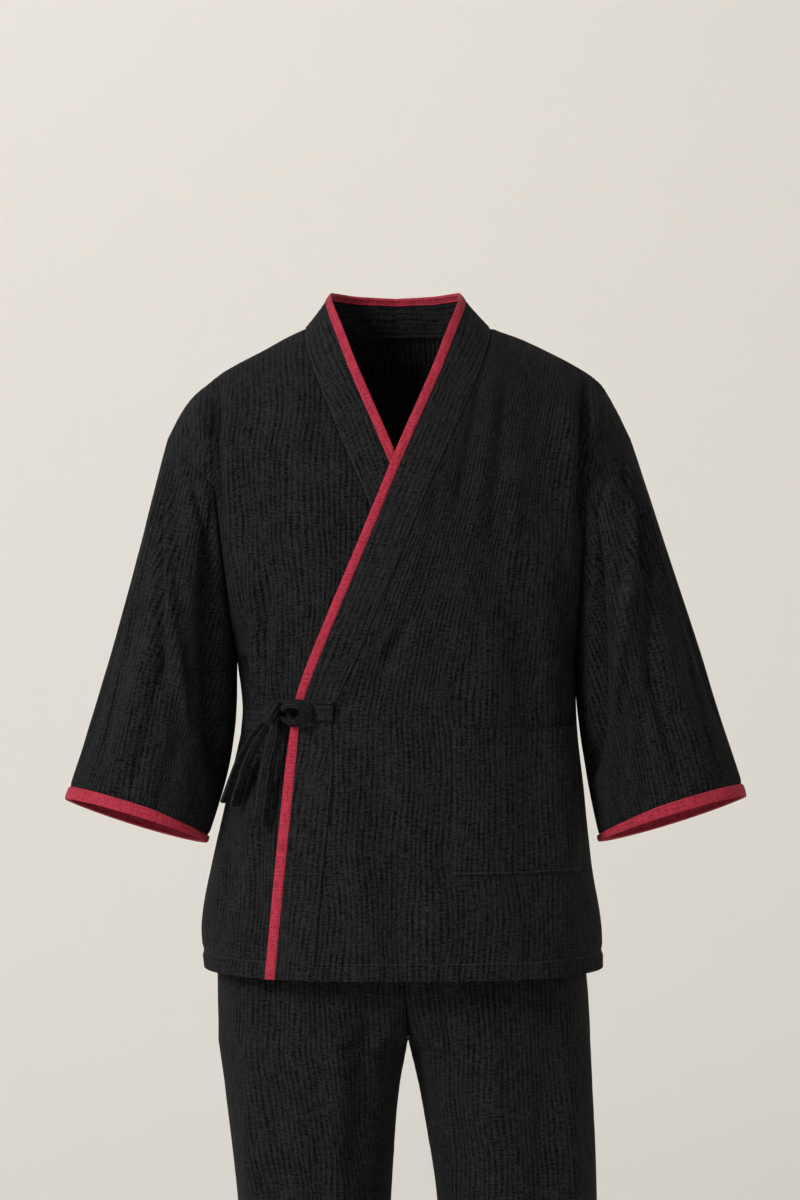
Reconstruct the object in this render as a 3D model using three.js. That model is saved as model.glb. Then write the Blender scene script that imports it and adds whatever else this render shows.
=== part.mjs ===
// A jinbei set: a wrap jacket with three-quarter sleeves and a side tie, over trousers that end just
// below the knee. The cloth keeps the filled-out form that it has when it is worn, and every wall is
// hollow behind. Millimetres, +Z up, +X to the wearer's left, the front faces -Y. The origin is between
// the shoulders, level with the seams at the sides of the neck, where the wearer holds the jacket up.
import * as THREE from "three";

const V = (x, y, z) => new THREE.Vector3(x, y, z);
const HALF_TURN = Math.PI;
const QUARTER_TURN = Math.PI / 2;

// Driving sizes.
const SEAM_GAP = 0.3; // between two pieces that are sewn together
const CLOTH = 2.0; // a panel of crinkled double gauze
const BAND_WALL = 2.6; // the collar band is folded double
const BINDING_WALL = 3.4; // the red edge wraps round what it binds
const STRAP_WALL = 2.4; // a tie is a turned, pressed tube of cloth
const BAND = { width: 48, drawnIn: 8, drawnHeight: 35 }; // free edge to seam; the tie draws it in
const BINDING_WIDTH = 10;
const CUFF_BINDING_WIDTH = 13.5;
const OVERLAP_LIFT = 5; // the left front lies this far outside the right one
const YOKE_Z = -168; // the level where the sleeves begin to part from the chest
const HEM_Z = -665;

// Horizontal sections of the jacket's body below the yoke: half widths on the wearer's right and left,
// how far the front and the back stand from the side seams, and the squareness of the oval.
const BODY = [
  { z: -665, right: 204, left: 211, front: 143, back: 138, square: 2.5 },
  { z: -620, right: 207, left: 210, front: 140, back: 134, square: 2.5 },
  { z: -560, right: 197, left: 200, front: 134, back: 129, square: 2.5 },
  { z: -470, right: 178, left: 191, front: 127, back: 120, square: 2.5 },
  { z: -405, right: 165, left: 184, front: 122, back: 114, square: 2.5 },
  { z: -345, right: 171, left: 183, front: 123, back: 117, square: 2.5 },
  { z: -250, right: 182, left: 186, front: 126, back: 124, square: 2.6 },
  { z: -168, right: 190, left: 190, front: 123, back: 128, square: 2.7 },
];

// The free edge of the wearer's left front, from the hem up to the middle of the back of the neck.
// Below the yoke its depth comes from the body's section. The right front is its mirror image.
const EDGE_BELOW = [
  { z: -665, x: -134 },
  { z: -587, x: -127 },
  { z: -504, x: -119 },
  { z: -424, x: -110 },
  { z: -374, x: -101 },
  { z: -304, x: -75 },
  { z: -234, x: -46 },
  { z: -168, x: -19 },
];
const EDGE_ABOVE = [
  { at: 0.0, x: -19, y: -123, z: -168 },
  { at: 0.1, x: 0, y: -119, z: -122 },
  { at: 0.22, x: 19, y: -107, z: -78 },
  { at: 0.34, x: 35, y: -89, z: -40 },
  { at: 0.46, x: 48, y: -66, z: -5 },
  { at: 0.58, x: 59, y: -34, z: 24 },
  { at: 0.7, x: 62, y: 2, z: 38 },
  { at: 0.8, x: 57, y: 38, z: 42 },
  { at: 0.9, x: 35, y: 68, z: 42 },
  { at: 1.0, x: -5, y: 80, z: 41 },
];
const EDGE_CENTRE = -5; // the two free edges mirror each other in this plane
const NECK = { centre: -2.5, bow: 9 };
// The seam of the collar round the back of the neck, from the side of the neck to the middle.
const NECK_BACK = [
  { at: 0.0, out: 94.5, y: 8, z: 3 },
  { at: 0.35, out: 83, y: 55, z: 3 },
  { at: 0.7, out: 45, y: 88, z: 1 },
  { at: 1.0, out: 0, y: 97, z: 0 },
];
// The shoulder line from the side of the neck to the top of the armhole seam: how far it reaches out on
// the wearer's right and left.
const SHOULDER = [
  { at: 0.0, right: 97, left: 92, y: 8, z: 3 },
  { at: 0.13, right: 119, left: 123, y: 8, z: -7.5 },
  { at: 0.3, right: 147, left: 157, y: 8, z: -23 },
  { at: 0.52, right: 184, left: 194, y: 8, z: -43 },
  { at: 0.62, right: 200, left: 209, y: 8, z: -55 },
  { at: 0.74, right: 217, left: 219, y: 8, z: -69 },
  { at: 0.88, right: 231, left: 230, y: 8, z: -88 },
  { at: 1.0, right: 245, left: 243, y: 8, z: -115 },
];
// The armhole seam drops over the shoulder, dives into the fold before the arm and ends under it.
const ARMHOLE = {
  frontFold: V(190, -76, YOKE_Z),
  backFold: V(192, 82, YOKE_Z),
  underarmZ: -345,
};
const CUFF = {
  right: { outer: V(346, -44, -490), inner: V(200, -46, -534) },
  left: { outer: V(358, -44, -487), inner: V(206, -46, -533) },
  halfDepth: 53,
  frontRise: 0.2, // the front of the cuff is higher than its back, as the forearm swings forward
  lens: 1.35, // how sharply the sleeve folds along its outer and inner edges
};
// How far a sleeve swells in front and behind, towards the body, and hollows along its outer edge.
const SLEEVE = {
  swell: 17,
  right: { fill: 11, hollow: 5 },
  left: { fill: 5, hollow: -1 },
};

// The trousers above the crotch, and each leg below it.
const HIPS = [
  { z: -395, right: 150, left: 150, front: 100, back: 98 },
  { z: -470, right: 163, left: 164, front: 106, back: 108 },
  { z: -560, right: 178, left: 180, front: 113, back: 118 },
  { z: -640, right: 190, left: 192, front: 117, back: 122 },
  { z: -742, right: 190, left: 199, front: 114, back: 120 },
];
const LEG_RIGHT = [
  { z: -742, inner: -8, outer: 190, front: 106, back: 112 },
  { z: -800, inner: 2, outer: 182, front: 99, back: 106 },
  { z: -912, inner: 9.5, outer: 169, front: 92, back: 99 },
  { z: -1090, inner: 14, outer: 161, front: 86, back: 94 },
];
const LEG_LEFT = [
  { z: -742, inner: 8.8, outer: 199, front: 106, back: 112 },
  { z: -800, inner: 22, outer: 202, front: 99, back: 106 },
  { z: -912, inner: 39, outer: 207, front: 92, back: 99 },
  { z: -1090, inner: 50, outer: 211, front: 86, back: 94 },
];
const CROTCH = { x: 8.4, z: -742, top: -630, thighZ: -890 };
const WAISTBAND = { height: 34, wall: 3.4, gathers: 15, gatherDepth: 1.6 };

// The largest folds, as soft ridges (+) or troughs (-) between two points of the front view.
const FOLDS = [
  { face: "front", x0: -178, z0: -250, x1: -152, z1: -392, wide: 13, deep: -6 },
  { face: "front", x0: -150, z0: -230, x1: -132, z1: -380, wide: 13, deep: 4 },
  { face: "front", x0: 150, z0: -200, x1: 168, z1: -620, wide: 22, deep: 5 },
  { face: "front", x0: -60, z0: -440, x1: -40, z1: -640, wide: 26, deep: 3 },
  { face: "back", x0: -70, z0: -150, x1: -95, z1: -640, wide: 28, deep: 5 },
  { face: "back", x0: 85, z0: -170, x1: 70, z1: -640, wide: 24, deep: 5 },
  { face: "back", x0: 5, z0: -330, x1: -12, z1: -650, wide: 30, deep: -5 },
  { face: "back", x0: -150, z0: -200, x1: -140, z1: -430, wide: 20, deep: -5 },
  { face: "back", x0: 155, z0: -190, x1: 140, z1: -400, wide: 20, deep: -5 },
];
const SLEEVE_FOLDS = [
  { face: "front", x0: 226, z0: -170, x1: 200, z1: -380, wide: 15, deep: -8 },
  { face: "front", x0: 246, z0: -150, x1: 262, z1: -400, wide: 18, deep: 5 },
  { face: "back", x0: 232, z0: -160, x1: 222, z1: -430, wide: 17, deep: -7 },
  { face: "back", x0: 262, z0: -220, x1: 292, z1: -450, wide: 18, deep: 5 },
];
const TROUSER_FOLDS = [
  { face: "front", x0: -52, z0: -690, x1: -40, z1: -900, wide: 18, deep: -5 },
  { face: "front", x0: 150, z0: -720, x1: 120, z1: -1040, wide: 24, deep: 5 },
  { face: "back", x0: -90, z0: -690, x1: -80, z1: -1040, wide: 24, deep: 6 },
  { face: "back", x0: 100, z0: -690, x1: 115, z1: -1040, wide: 24, deep: 6 },
];

// The patch pocket, measured over the cloth from the left front's band seam and up from the hem.
const POCKET = { x: 52, bottom: -560, height: 147, width: 148, lift: 1.4, wall: 1.8 };

// The tie: where each strap leaves the jacket, and the bow in the middle.
const TIE_Z = -400;
const STRAP = { height: 21, lift: 1.6 };
const KNOT = { x: -130, z: -398, out: 21, wide: 11, tall: 12.5, deep: 9.5 };
const RIBBON = { wide: 24 };

// What the pieces look like.
const BLACK = new THREE.MeshStandardMaterial({ color: 0x1c1c1e, roughness: 0.93, metalness: 0 });
const RED = new THREE.MeshStandardMaterial({ color: 0x9c1a2c, roughness: 0.85, metalness: 0 });

// ---------------------------------------------------------------- curves and sections

const mix = (a, b, t) => a + (b - a) * t;
const clamp01 = (t) => Math.min(1, Math.max(0, t));
const smooth = (t) => clamp01(t) ** 2 * (3 - 2 * clamp01(t));
const signedPower = (a, p) => Math.sign(a) * Math.abs(a) ** p;
const steps = (n) => Array.from({ length: n + 1 }, (_, i) => i / n);

// A table's column at a place, on a smooth curve through its rows.
function lookUp(table, key, at, column) {
  const rows = table[0][key] < table[table.length - 1][key] ? table : [...table].reverse();
  let k = 0;
  while (k < rows.length - 2 && at > rows[k + 1][key]) k += 1;
  const slope = (i) => {
    const before = rows[Math.max(i - 1, 0)];
    const after = rows[Math.min(i + 1, rows.length - 1)];
    return (after[column] - before[column]) / (after[key] - before[key]);
  };
  const [low, high] = [rows[k], rows[k + 1]];
  const span = high[key] - low[key];
  const t = clamp01((at - low[key]) / span);
  const [t2, t3] = [t * t, t * t * t];
  return (
    low[column] * (2 * t3 - 3 * t2 + 1) +
    slope(k) * span * (t3 - 2 * t2 + t) +
    high[column] * (3 * t2 - 2 * t3) +
    slope(k + 1) * span * (t3 - t2)
  );
}

const pointAt = (table, at) =>
  V(lookUp(table, "at", at, "x"), lookUp(table, "at", at, "y"), lookUp(table, "at", at, "z"));

// The lower part of the armhole seam at a level, on the wearer's right (side -1) or left (side 1).
function armholeBelow(side, face, z) {
  const fold = face === "front" ? ARMHOLE.frontFold : ARMHOLE.backFold;
  const across = lookUp(BODY, "z", ARMHOLE.underarmZ, side < 0 ? "right" : "left");
  const share = clamp01((z - YOKE_Z) / (ARMHOLE.underarmZ - YOKE_Z));
  return V(mix(fold.x, across, share), fold.y * Math.sqrt(1 - share * share), z);
}

// Where a level's section ends at the side: on the side seam, or on the armhole above the underarm.
function sectionEnd(side, face, z) {
  if (z > ARMHOLE.underarmZ) return armholeBelow(side, face, z);
  return V(lookUp(BODY, "z", z, side < 0 ? "right" : "left"), 0, z);
}

// The oval of a level on one side: its half width, depth and power.
function oval(side, face, z) {
  const end = sectionEnd(side, face, z);
  const depth = lookUp(BODY, "z", z, face);
  const power = 2 / lookUp(BODY, "z", z, "square");
  const angle = Math.acos((Math.abs(end.y) / depth) ** (1 / power));
  return { half: end.x / Math.sin(angle) ** power, depth, power };
}

// How far the body's surface stands from the side seams at a point of the front or back view.
function bodyY(face, x, z) {
  const o = oval(x < 0 ? -1 : 1, face, z);
  const inside = Math.max(0, 1 - Math.abs(x / o.half) ** (2 / o.power));
  return (face === "front" ? -1 : 1) * o.depth * inside ** (o.power / 2);
}

// A level line of the body below the yoke, from x = start to the side. Its points are evenly spaced
// round to the side seam, and near the armhole they close up to end on it.
function levelLine(side, face, z, start, count) {
  const o = oval(side, face, z);
  const end = sectionEnd(side, face, z);
  const from = Math.asin(signedPower((start * side) / o.half, 1 / o.power));
  const line = steps(128).map((share) => {
    const x = side * o.half * signedPower(Math.sin(mix(from, QUARTER_TURN, share)), o.power);
    return V(x, bodyY(face, x, z), z);
  });
  const along = [0];
  for (let i = 1; i < line.length; i += 1) along.push(along[i - 1] + line[i].distanceTo(line[i - 1]));
  const whole = along[along.length - 1];
  let last = line.length - 1;
  while (last > 1 && Math.abs(line[last].y) < Math.abs(end.y)) last -= 1;
  const cut = whole - along[last];
  let k = 0;
  const points = steps(count).map((share) => {
    const want = whole * share - cut * share * share;
    while (k < line.length - 2 && along[k + 1] < want) k += 1;
    return line[k].clone().lerp(line[k + 1], clamp01((want - along[k]) / (along[k + 1] - along[k])));
  });
  points[count] = V(side * end.x, end.y, z);
  return points;
}

// One point between the yoke's level and the shoulder line, on the arc from base up to top.
function risingPoint(base, top, share) {
  const rise = Math.sin(share * QUARTER_TURN);
  const lean = Math.cos(share * QUARTER_TURN) ** 1.3;
  return V(mix(base.x, top.x, rise), mix(top.y, base.y, lean), mix(base.z, top.z, rise));
}

function shoulderPoint(side, at) {
  const row = (column) => lookUp(SHOULDER, "at", at, column);
  return V(side * row(side < 0 ? "right" : "left"), row("y"), row("z"));
}

function neckBackPoint(side, at) {
  const row = (column) => lookUp(NECK_BACK, "at", at, column);
  return V(NECK.centre + side * row("out"), row("y"), row("z"));
}

// ---------------------------------------------------------------- folds and shells

// How far the folds of a table move the cloth out at a point of the front or back view.
function foldDepth(table, face, x, z) {
  let moved = 0;
  for (const f of table) {
    if (f.face !== face) continue;
    const [dx, dz] = [f.x1 - f.x0, f.z1 - f.z0];
    const t = ((x - f.x0) * dx + (z - f.z0) * dz) / (dx * dx + dz * dz);
    const away = Math.hypot(x - f.x0 - clamp01(t) * dx, z - f.z0 - clamp01(t) * dz);
    const fade = smooth((t + 0.25) / 0.35) * smooth((1.25 - t) / 0.35);
    moved += f.deep * fade * Math.exp(-((away / f.wide) ** 2));
  }
  return moved;
}

// The outward normals of a grid of points, rows going up and columns going the wearer's left on a front.
function gridNormals(grid, closed, outward) {
  return grid.map((row, j) =>
    row.map((_, i) => {
      const n = row.length;
      const [right, left] = closed
        ? [grid[j][(i + 1) % n], grid[j][(i + n - 1) % n]]
        : [grid[j][Math.min(i + 1, n - 1)], grid[j][Math.max(i - 1, 0)]];
      const up = grid[Math.min(j + 1, grid.length - 1)][i];
      const down = grid[Math.max(j - 1, 0)][i];
      const across = right.clone().sub(left);
      return across.cross(up.clone().sub(down)).normalize().multiplyScalar(outward);
    }),
  );
}

// A closed wall between a grid of outer points and the same grid moved in by the wall's thickness.
// rims(j, i) gives the direction out of the cloth on a seam, so that both pieces of a seam share it.
function shell(grid, { wall, closed = false, outward = 1, lift = 0, rims = () => null, relief = null }) {
  const normals = gridNormals(grid, closed, outward).map((row, j) => row.map((n, i) => rims(j, i) || n));
  const outer = grid.map((row, j) =>
    row.map((p, i) => p.clone().addScaledVector(normals[j][i], lift + (relief ? relief(p, j, i) : 0))),
  );
  const inner = outer.map((row, j) => row.map((p, i) => p.clone().addScaledVector(normals[j][i], -wall)));
  const [rows, columns] = [grid.length, grid[0].length];
  const points = [...outer.flat(), ...inner.flat()];
  const index = (layer, j, i) => layer * rows * columns + j * columns + (i % columns);
  const faces = [];
  const quad = (a, b, c, d) => (outward > 0 ? faces.push(a, b, c, a, c, d) : faces.push(a, c, b, a, d, c));
  const across = closed ? columns : columns - 1;
  for (let j = 0; j < rows - 1; j += 1) {
    for (let i = 0; i < across; i += 1) {
      quad(index(0, j, i), index(0, j, i + 1), index(0, j + 1, i + 1), index(0, j + 1, i));
      quad(index(1, j, i), index(1, j + 1, i), index(1, j + 1, i + 1), index(1, j, i + 1));
    }
  }
  for (let i = 0; i < across; i += 1) {
    quad(index(0, 0, i), index(1, 0, i), index(1, 0, i + 1), index(0, 0, i + 1));
    const top = rows - 1;
    quad(index(0, top, i + 1), index(1, top, i + 1), index(1, top, i), index(0, top, i));
  }
  for (let j = 0; j < rows - 1 && !closed; j += 1) {
    quad(index(0, j, 0), index(0, j + 1, 0), index(1, j + 1, 0), index(1, j, 0));
    const last = columns - 1;
    quad(index(0, j + 1, last), index(0, j, last), index(1, j, last), index(1, j + 1, last));
  }
  const geometry = new THREE.BufferGeometry();
  const places = points.flatMap((p) => [p.x, p.y, p.z]);
  geometry.setAttribute("position", new THREE.Float32BufferAttribute(places, 3));
  geometry.setIndex(faces);
  geometry.computeVertexNormals();
  return geometry;
}

const jinbei = new THREE.Group();
function addPiece(name, geometry, material) {
  const mesh = new THREE.Mesh(geometry, material);
  mesh.name = name;
  jinbei.add(mesh);
  return mesh;
}

// ---------------------------------------------------------------- the jacket's fronts

const SKIRT_LEVELS = 8;
const ARM_LEVELS = 5;
const YOKE_LEVELS = 7;

// The levels up to the yoke: even below the underarm, then closer where the armhole turns under the arm.
const armLevels = steps(ARM_LEVELS).map((share) =>
  mix(YOKE_Z, ARMHOLE.underarmZ, Math.cos(share * QUARTER_TURN)),
);
const bandWidth = (side, z) =>
  BAND.width - (side > 0 ? BAND.drawnIn * Math.exp(-(((z - TIE_Z) / BAND.drawnHeight) ** 2)) : 0);
const seamX = (side, z) => edgeX(side, z) + side * bandWidth(side, z);
const levels = [
  ...steps(SKIRT_LEVELS).map((share) => mix(HEM_Z, ARMHOLE.underarmZ, share)),
  ...armLevels.slice(1),
];

// x of the free edge of a front below the yoke: the left front's edge crosses to the wearer's right.
function edgeX(side, z) {
  const x = lookUp(EDGE_BELOW, "z", z, "x");
  return side > 0 ? x : 2 * EDGE_CENTRE - x;
}

// How far the left front lies outside the right one: all of it as far as the right front reaches, then less.
function overlapLift(side, x, z) {
  if (side < 0) return 0;
  const underEdge = edgeX(-1, Math.min(z, YOKE_Z));
  const across = 1 - smooth((x - underEdge - 12) / 48);
  const up = smooth((-45 - z) / 90);
  return OVERLAP_LIFT * across * up;
}

// The collar seam of a front above the yoke, from the yoke's level to the side of the neck.
function seamAbove(side, base, share) {
  const p = risingPoint(base, shoulderPoint(side, 0), share);
  p.x += side * NECK.bow * Math.sin(share * HALF_TURN);
  return p;
}

// The grid of a front panel: rows from the hem to the shoulder, columns from the collar seam to the side.
function frontGrid(side, columns) {
  const grid = levels.map((z) => levelLine(side, "front", z, seamX(side, z), columns));
  const base = grid[grid.length - 1];
  steps(YOKE_LEVELS)
    .slice(1)
    .forEach((share) => {
      grid.push(
        base.map((p, i) => {
          const at = i / columns;
          const q = risingPoint(p, shoulderPoint(side, at), share);
          q.x += side * NECK.bow * Math.sin(share * HALF_TURN) * (1 - at) ** 2;
          return q;
        }),
      );
    });
  return grid;
}

// The direction out of the cloth on the armhole seam, shared by the body and the sleeve.
function armholeRim(side, face, p) {
  const under = smooth((YOKE_Z - p.z) / (YOKE_Z - ARMHOLE.underarmZ));
  const over = smooth((p.z - YOKE_Z) / (SHOULDER[SHOULDER.length - 1].z - YOKE_Z));
  const middle = V(side * 0.2, face === "front" ? -0.98 : 0.98, 0).multiplyScalar(1 - under - over);
  return middle
    .addScaledVector(V(side * 0.5, 0, -0.87), under)
    .addScaledVector(V(side * 0.85, 0, 0.53), over)
    .normalize();
}

// The side where a front or the back ends: the armhole above the underarm, and the side seam below it.
function sideRim(side, face, p) {
  return p.z > ARMHOLE.underarmZ + 1 ? armholeRim(side, face, p) : V(side, 0, 0);
}

// Keeps half a seam's gap at a panel's outer column and top row.
function pullIn(grid, columns, fromTop) {
  grid.forEach((row) => {
    for (const i of columns) {
      const inside = row[i === 0 ? 1 : i - 1];
      row[i].add(inside.clone().sub(row[i]).setLength(SEAM_GAP / 2 + 0.02));
    }
  });
  if (fromTop) {
    const [below, top] = grid.slice(-2);
    top.forEach((p, i) => p.add(below[i].clone().sub(p).setLength(SEAM_GAP / 2 + 0.02)));
  }
}

function addFront(name, side, columns) {
  const grid = frontGrid(side, columns);
  pullIn(grid, [0, columns], true);
  const top = grid.length - 1;
  const rims = (j, i) => {
    if (i === columns) return sideRim(side, "front", grid[j][i]);
    if (j === top) return V(side * 0.25, 0, 0.97).normalize();
    return null;
  };
  const relief = (p, j, i) =>
    overlapLift(side, p.x, p.z) + (i > 0 && i < columns ? foldDepth(FOLDS, "front", p.x, p.z) : 0);
  addPiece(name, shell(grid, { wall: CLOTH, outward: side, rims, relief }), BLACK);
}

addFront("jacket_front_right", -1, 10);
addFront("jacket_front_left", 1, 10);

// ---------------------------------------------------------------- the back

const NECK_COLUMNS = 4;

function addBack(columns) {
  const half = columns / 2;
  const neckShare = NECK_COLUMNS / half; // the middle of the top is the neckline, and the rest is shoulder
  const grid = levels.map((z) => {
    const left = levelLine(1, "back", z, 0, half);
    const right = levelLine(-1, "back", z, 0, half);
    return [...right.reverse(), ...left.slice(1)];
  });
  const base = grid[grid.length - 1];
  const topOf = (i) => {
    const side = i < half ? -1 : 1;
    const out = Math.abs(i - half) / half;
    if (out <= neckShare) return neckBackPoint(side, 1 - out / neckShare);
    return shoulderPoint(side, (out - neckShare) / (1 - neckShare));
  };
  steps(YOKE_LEVELS)
    .slice(1)
    .forEach((share) => grid.push(base.map((p, i) => risingPoint(p, topOf(i), share))));
  pullIn(grid, [0, columns], true);
  const top = grid.length - 1;
  const rims = (j, i) => {
    if (i === 0 || i === columns) return sideRim(i ? 1 : -1, "back", grid[j][i]);
    const onShoulder = j === top && Math.abs(i - half) >= NECK_COLUMNS;
    if (onShoulder) return V(i < half ? -0.25 : 0.25, 0, 0.97).normalize();
    return null;
  };
  const relief = (p, j, i) => (i > 0 && i < columns ? foldDepth(FOLDS, "back", p.x, p.z) : 0);
  addPiece("jacket_back", shell(grid, { wall: CLOTH, outward: -1, rims, relief }), BLACK);
}

addBack(18);

// ---------------------------------------------------------------- the collar band and its red edge

// The band's two long edges, matched row by row from the hem to the middle of the back of the neck.
function bandRows(side) {
  const rows = levels.map((z) => {
    const [x, far] = [edgeX(side, z), seamX(side, z)];
    return { edge: V(x, bodyY("front", x, z), z), seam: V(far, bodyY("front", far, z), z) };
  });
  const base = rows[rows.length - 1].seam;
  steps(9)
    .slice(1)
    .forEach((share) => {
      const p = pointAt(EDGE_ABOVE, share * 0.7);
      rows.push({ edge: p, seam: seamAbove(side, base, share ** 1.25) });
    });
  steps(NECK_COLUMNS)
    .slice(1)
    .forEach((share) => {
      rows.push({ edge: pointAt(EDGE_ABOVE, 0.7 + share * 0.3), seam: neckBackPoint(side, share) });
    });
  if (side < 0) rows.slice(levels.length).forEach((row) => (row.edge.x = 2 * EDGE_CENTRE - row.edge.x));
  rows[rows.length - 1].edge.x += side * SEAM_GAP * 0.6;
  rows[rows.length - 1].seam.x += side * SEAM_GAP * 0.6;
  return rows;
}

// A strip of the band between two shares of its width, from the free edge at 0 to the seam at 1.
function bandStrip(side, from, to, columns) {
  return bandRows(side).map(({ edge, seam }) => {
    return steps(columns).map((share) => {
      const p = edge.clone().lerp(seam, mix(from, to, share));
      if (p.z <= YOKE_Z) p.y = bodyY("front", p.x, p.z);
      return p;
    });
  });
}

function addCollar(suffix, side) {
  const bindingShare = BINDING_WIDTH / BAND.width;
  const gapShare = SEAM_GAP / BAND.width;
  const relief = (p) => (p.y < 0 ? overlapLift(side, p.x, p.z) : 0);
  const middle = V(0, 0.9, 0.43);
  const rimsOf = (grid) => (j, i) => (j === grid.length - 1 ? middle : null);
  const band = bandStrip(side, bindingShare + gapShare, 1 - gapShare, 2);
  const bandOptions = { wall: BAND_WALL, outward: side, rims: rimsOf(band), relief, lift: 0.3 };
  addPiece("collar_band_" + suffix, shell(band, bandOptions), BLACK);
  const binding = bandStrip(side, 0, bindingShare, 1);
  const bindingOptions = { wall: BINDING_WALL, outward: side, rims: rimsOf(binding), relief, lift: 0.7 };
  addPiece("collar_binding_" + suffix, shell(binding, bindingOptions), RED);
}

addCollar("right", -1);
addCollar("left", 1);

// ---------------------------------------------------------------- the sleeves

const AROUND = 2 * (YOKE_LEVELS + ARM_LEVELS);

// The armhole ring, from the top of the shoulder down the front, under the arm and up the back, through
// the same points as the sides of the fronts and the back.
function armholeRing(side) {
  const half = (face) => {
    const fold = face === "front" ? ARMHOLE.frontFold : ARMHOLE.backFold;
    const base = V(side * fold.x, fold.y, fold.z);
    const above = steps(YOKE_LEVELS).map((share) => risingPoint(base, shoulderPoint(side, 1), 1 - share));
    const below = [...armLevels].reverse().map((z) => armholeBelow(side, face, z));
    below.forEach((p) => (p.x *= side));
    return [...above, ...below.slice(1)];
  };
  return [...half("front"), ...half("back").reverse().slice(1, -1)];
}

const sleeveOf = (side) => SLEEVE[side < 0 ? "right" : "left"];
const cuffOf = (side) => CUFF[side < 0 ? "right" : "left"];

function cuffRing(side) {
  const { outer, inner } = cuffOf(side);
  const centre = outer.clone().add(inner).multiplyScalar(0.5);
  const out = outer.clone().sub(centre);
  const ahead = V(0, -1, CUFF.frontRise).setLength(CUFF.halfDepth);
  return Array.from({ length: AROUND }, (_, i) => {
    const angle = (i / AROUND) * 2 * HALF_TURN;
    const p = centre.clone().addScaledVector(out, Math.cos(angle));
    p.addScaledVector(ahead, signedPower(Math.sin(angle), CUFF.lens));
    return V(p.x * side, p.y, p.z);
  });
}

// A ring of the sleeve at a share of the way from the armhole to the cuff.
function sleeveRing(side, share) {
  const [armhole, cuff] = [armholeRing(side), cuffRing(side)];
  const { fill, hollow } = sleeveOf(side);
  const swell = SLEEVE.swell * Math.sin(share ** 0.7 * HALF_TURN);
  const bend = Math.sin(share * HALF_TURN);
  return armhole.map((start, i) => {
    const [out, ahead] = [Math.cos((i / AROUND) * 2 * HALF_TURN), Math.sin((i / AROUND) * 2 * HALF_TURN)];
    const p = start.lerp(cuff[i], share);
    p.y -= Math.sign(ahead) * swell * ahead * ahead;
    p.x -= side * bend * (out > 0 ? hollow * out : fill * Math.abs(out) ** 1.5);
    return p;
  });
}

function addSleeve(suffix, side) {
  const length = cuffOf(1).outer.distanceTo(shoulderPoint(1, 1));
  const gap = SEAM_GAP / length;
  const cuffShare = CUFF_BINDING_WIDTH / length;
  // Rows go up, as on every other panel, so the cuff comes first.
  const shares = steps(9).map((share) => mix(1 - cuffShare - gap, 0, share));
  const grid = shares.map((share) => sleeveRing(side, share));
  const top = grid.length - 1;
  grid[top] = armholeRing(side).map((p) => p.add(V(side * 0.9, 0, -0.4).multiplyScalar(SEAM_GAP)));
  const faceOf = (i) => (i < AROUND / 2 ? "front" : "back");
  const rims = (j, i) => (j === top ? armholeRim(side, faceOf(i), grid[j][i]) : null);
  const relief = (p, j, i) =>
    foldDepth(SLEEVE_FOLDS, faceOf(i), Math.abs(p.x), p.z) * smooth((top - j - 1) / 2);
  const outward = -side;
  addPiece("sleeve_" + suffix, shell(grid, { wall: CLOTH, closed: true, outward, rims, relief }), BLACK);
  const cuff = [1, 1 - cuffShare].map((share) => sleeveRing(side, share));
  const cuffOptions = { wall: BINDING_WALL, closed: true, outward, lift: 0.6 };
  addPiece("cuff_binding_" + suffix, shell(cuff, cuffOptions), RED);
}

addSleeve("right", -1);
addSleeve("left", 1);

// ---------------------------------------------------------------- the pocket

// A point of the left front, a distance over the cloth from x, at a level.
function overFront(x, z, distance) {
  const line = levelLine(1, "front", z, x, 60);
  let walked = 0;
  for (let i = 1; i < line.length; i += 1) {
    const step = line[i].distanceTo(line[i - 1]);
    if (walked + step >= distance) return line[i - 1].clone().lerp(line[i], (distance - walked) / step);
    walked += step;
  }
  return line[line.length - 1];
}

function addPocket() {
  const grid = steps(5).map((up) =>
    steps(8).map((along) => overFront(POCKET.x, POCKET.bottom + up * POCKET.height, along * POCKET.width)),
  );
  const relief = (p) => overlapLift(1, p.x, p.z) + foldDepth(FOLDS, "front", p.x, p.z);
  const lift = POCKET.lift + POCKET.wall;
  addPiece("pocket", shell(grid, { wall: POCKET.wall, lift, relief }), BLACK);
}

addPocket();

// ---------------------------------------------------------------- the tie

// A strap that lies on the front between two places across it.
function addStrap(name, fromX, toX, lift, bottom) {
  const grid = steps(1).map((up) =>
    steps(4).map((along) => {
      const [x, z] = [mix(fromX, toX, along), TIE_Z + bottom + up * STRAP.height];
      return V(x, bodyY("front", x, z) - lift, z);
    }),
  );
  addPiece(name, shell(grid, { wall: STRAP_WALL, lift: STRAP_WALL }), BLACK);
}

// A flat ribbon along a list of places: across is the way of its width, out the way that it faces.
function addRibbon(name, places) {
  const grid = places.map(({ at, across, wide = RIBBON.wide }) => {
    const sideways = across.clone().setLength(wide / 2);
    return [at.clone().sub(sideways), at.clone(), at.clone().add(sideways)];
  });
  addPiece(name, shell(grid, { wall: STRAP_WALL, lift: STRAP_WALL / 2 }), BLACK);
}

function knotCentre() {
  return V(KNOT.x, bodyY("front", KNOT.x, KNOT.z) - KNOT.out, KNOT.z);
}

function addKnot() {
  const ball = new THREE.SphereGeometry(1, 12, 8);
  ball.scale(KNOT.wide, KNOT.deep, KNOT.tall);
  ball.deleteAttribute("uv");
  ball.deleteAttribute("normal");
  const { x, y, z } = knotCentre();
  ball.translate(x, y, z);
  addPiece("tie_knot", ball, BLACK);
}

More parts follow.
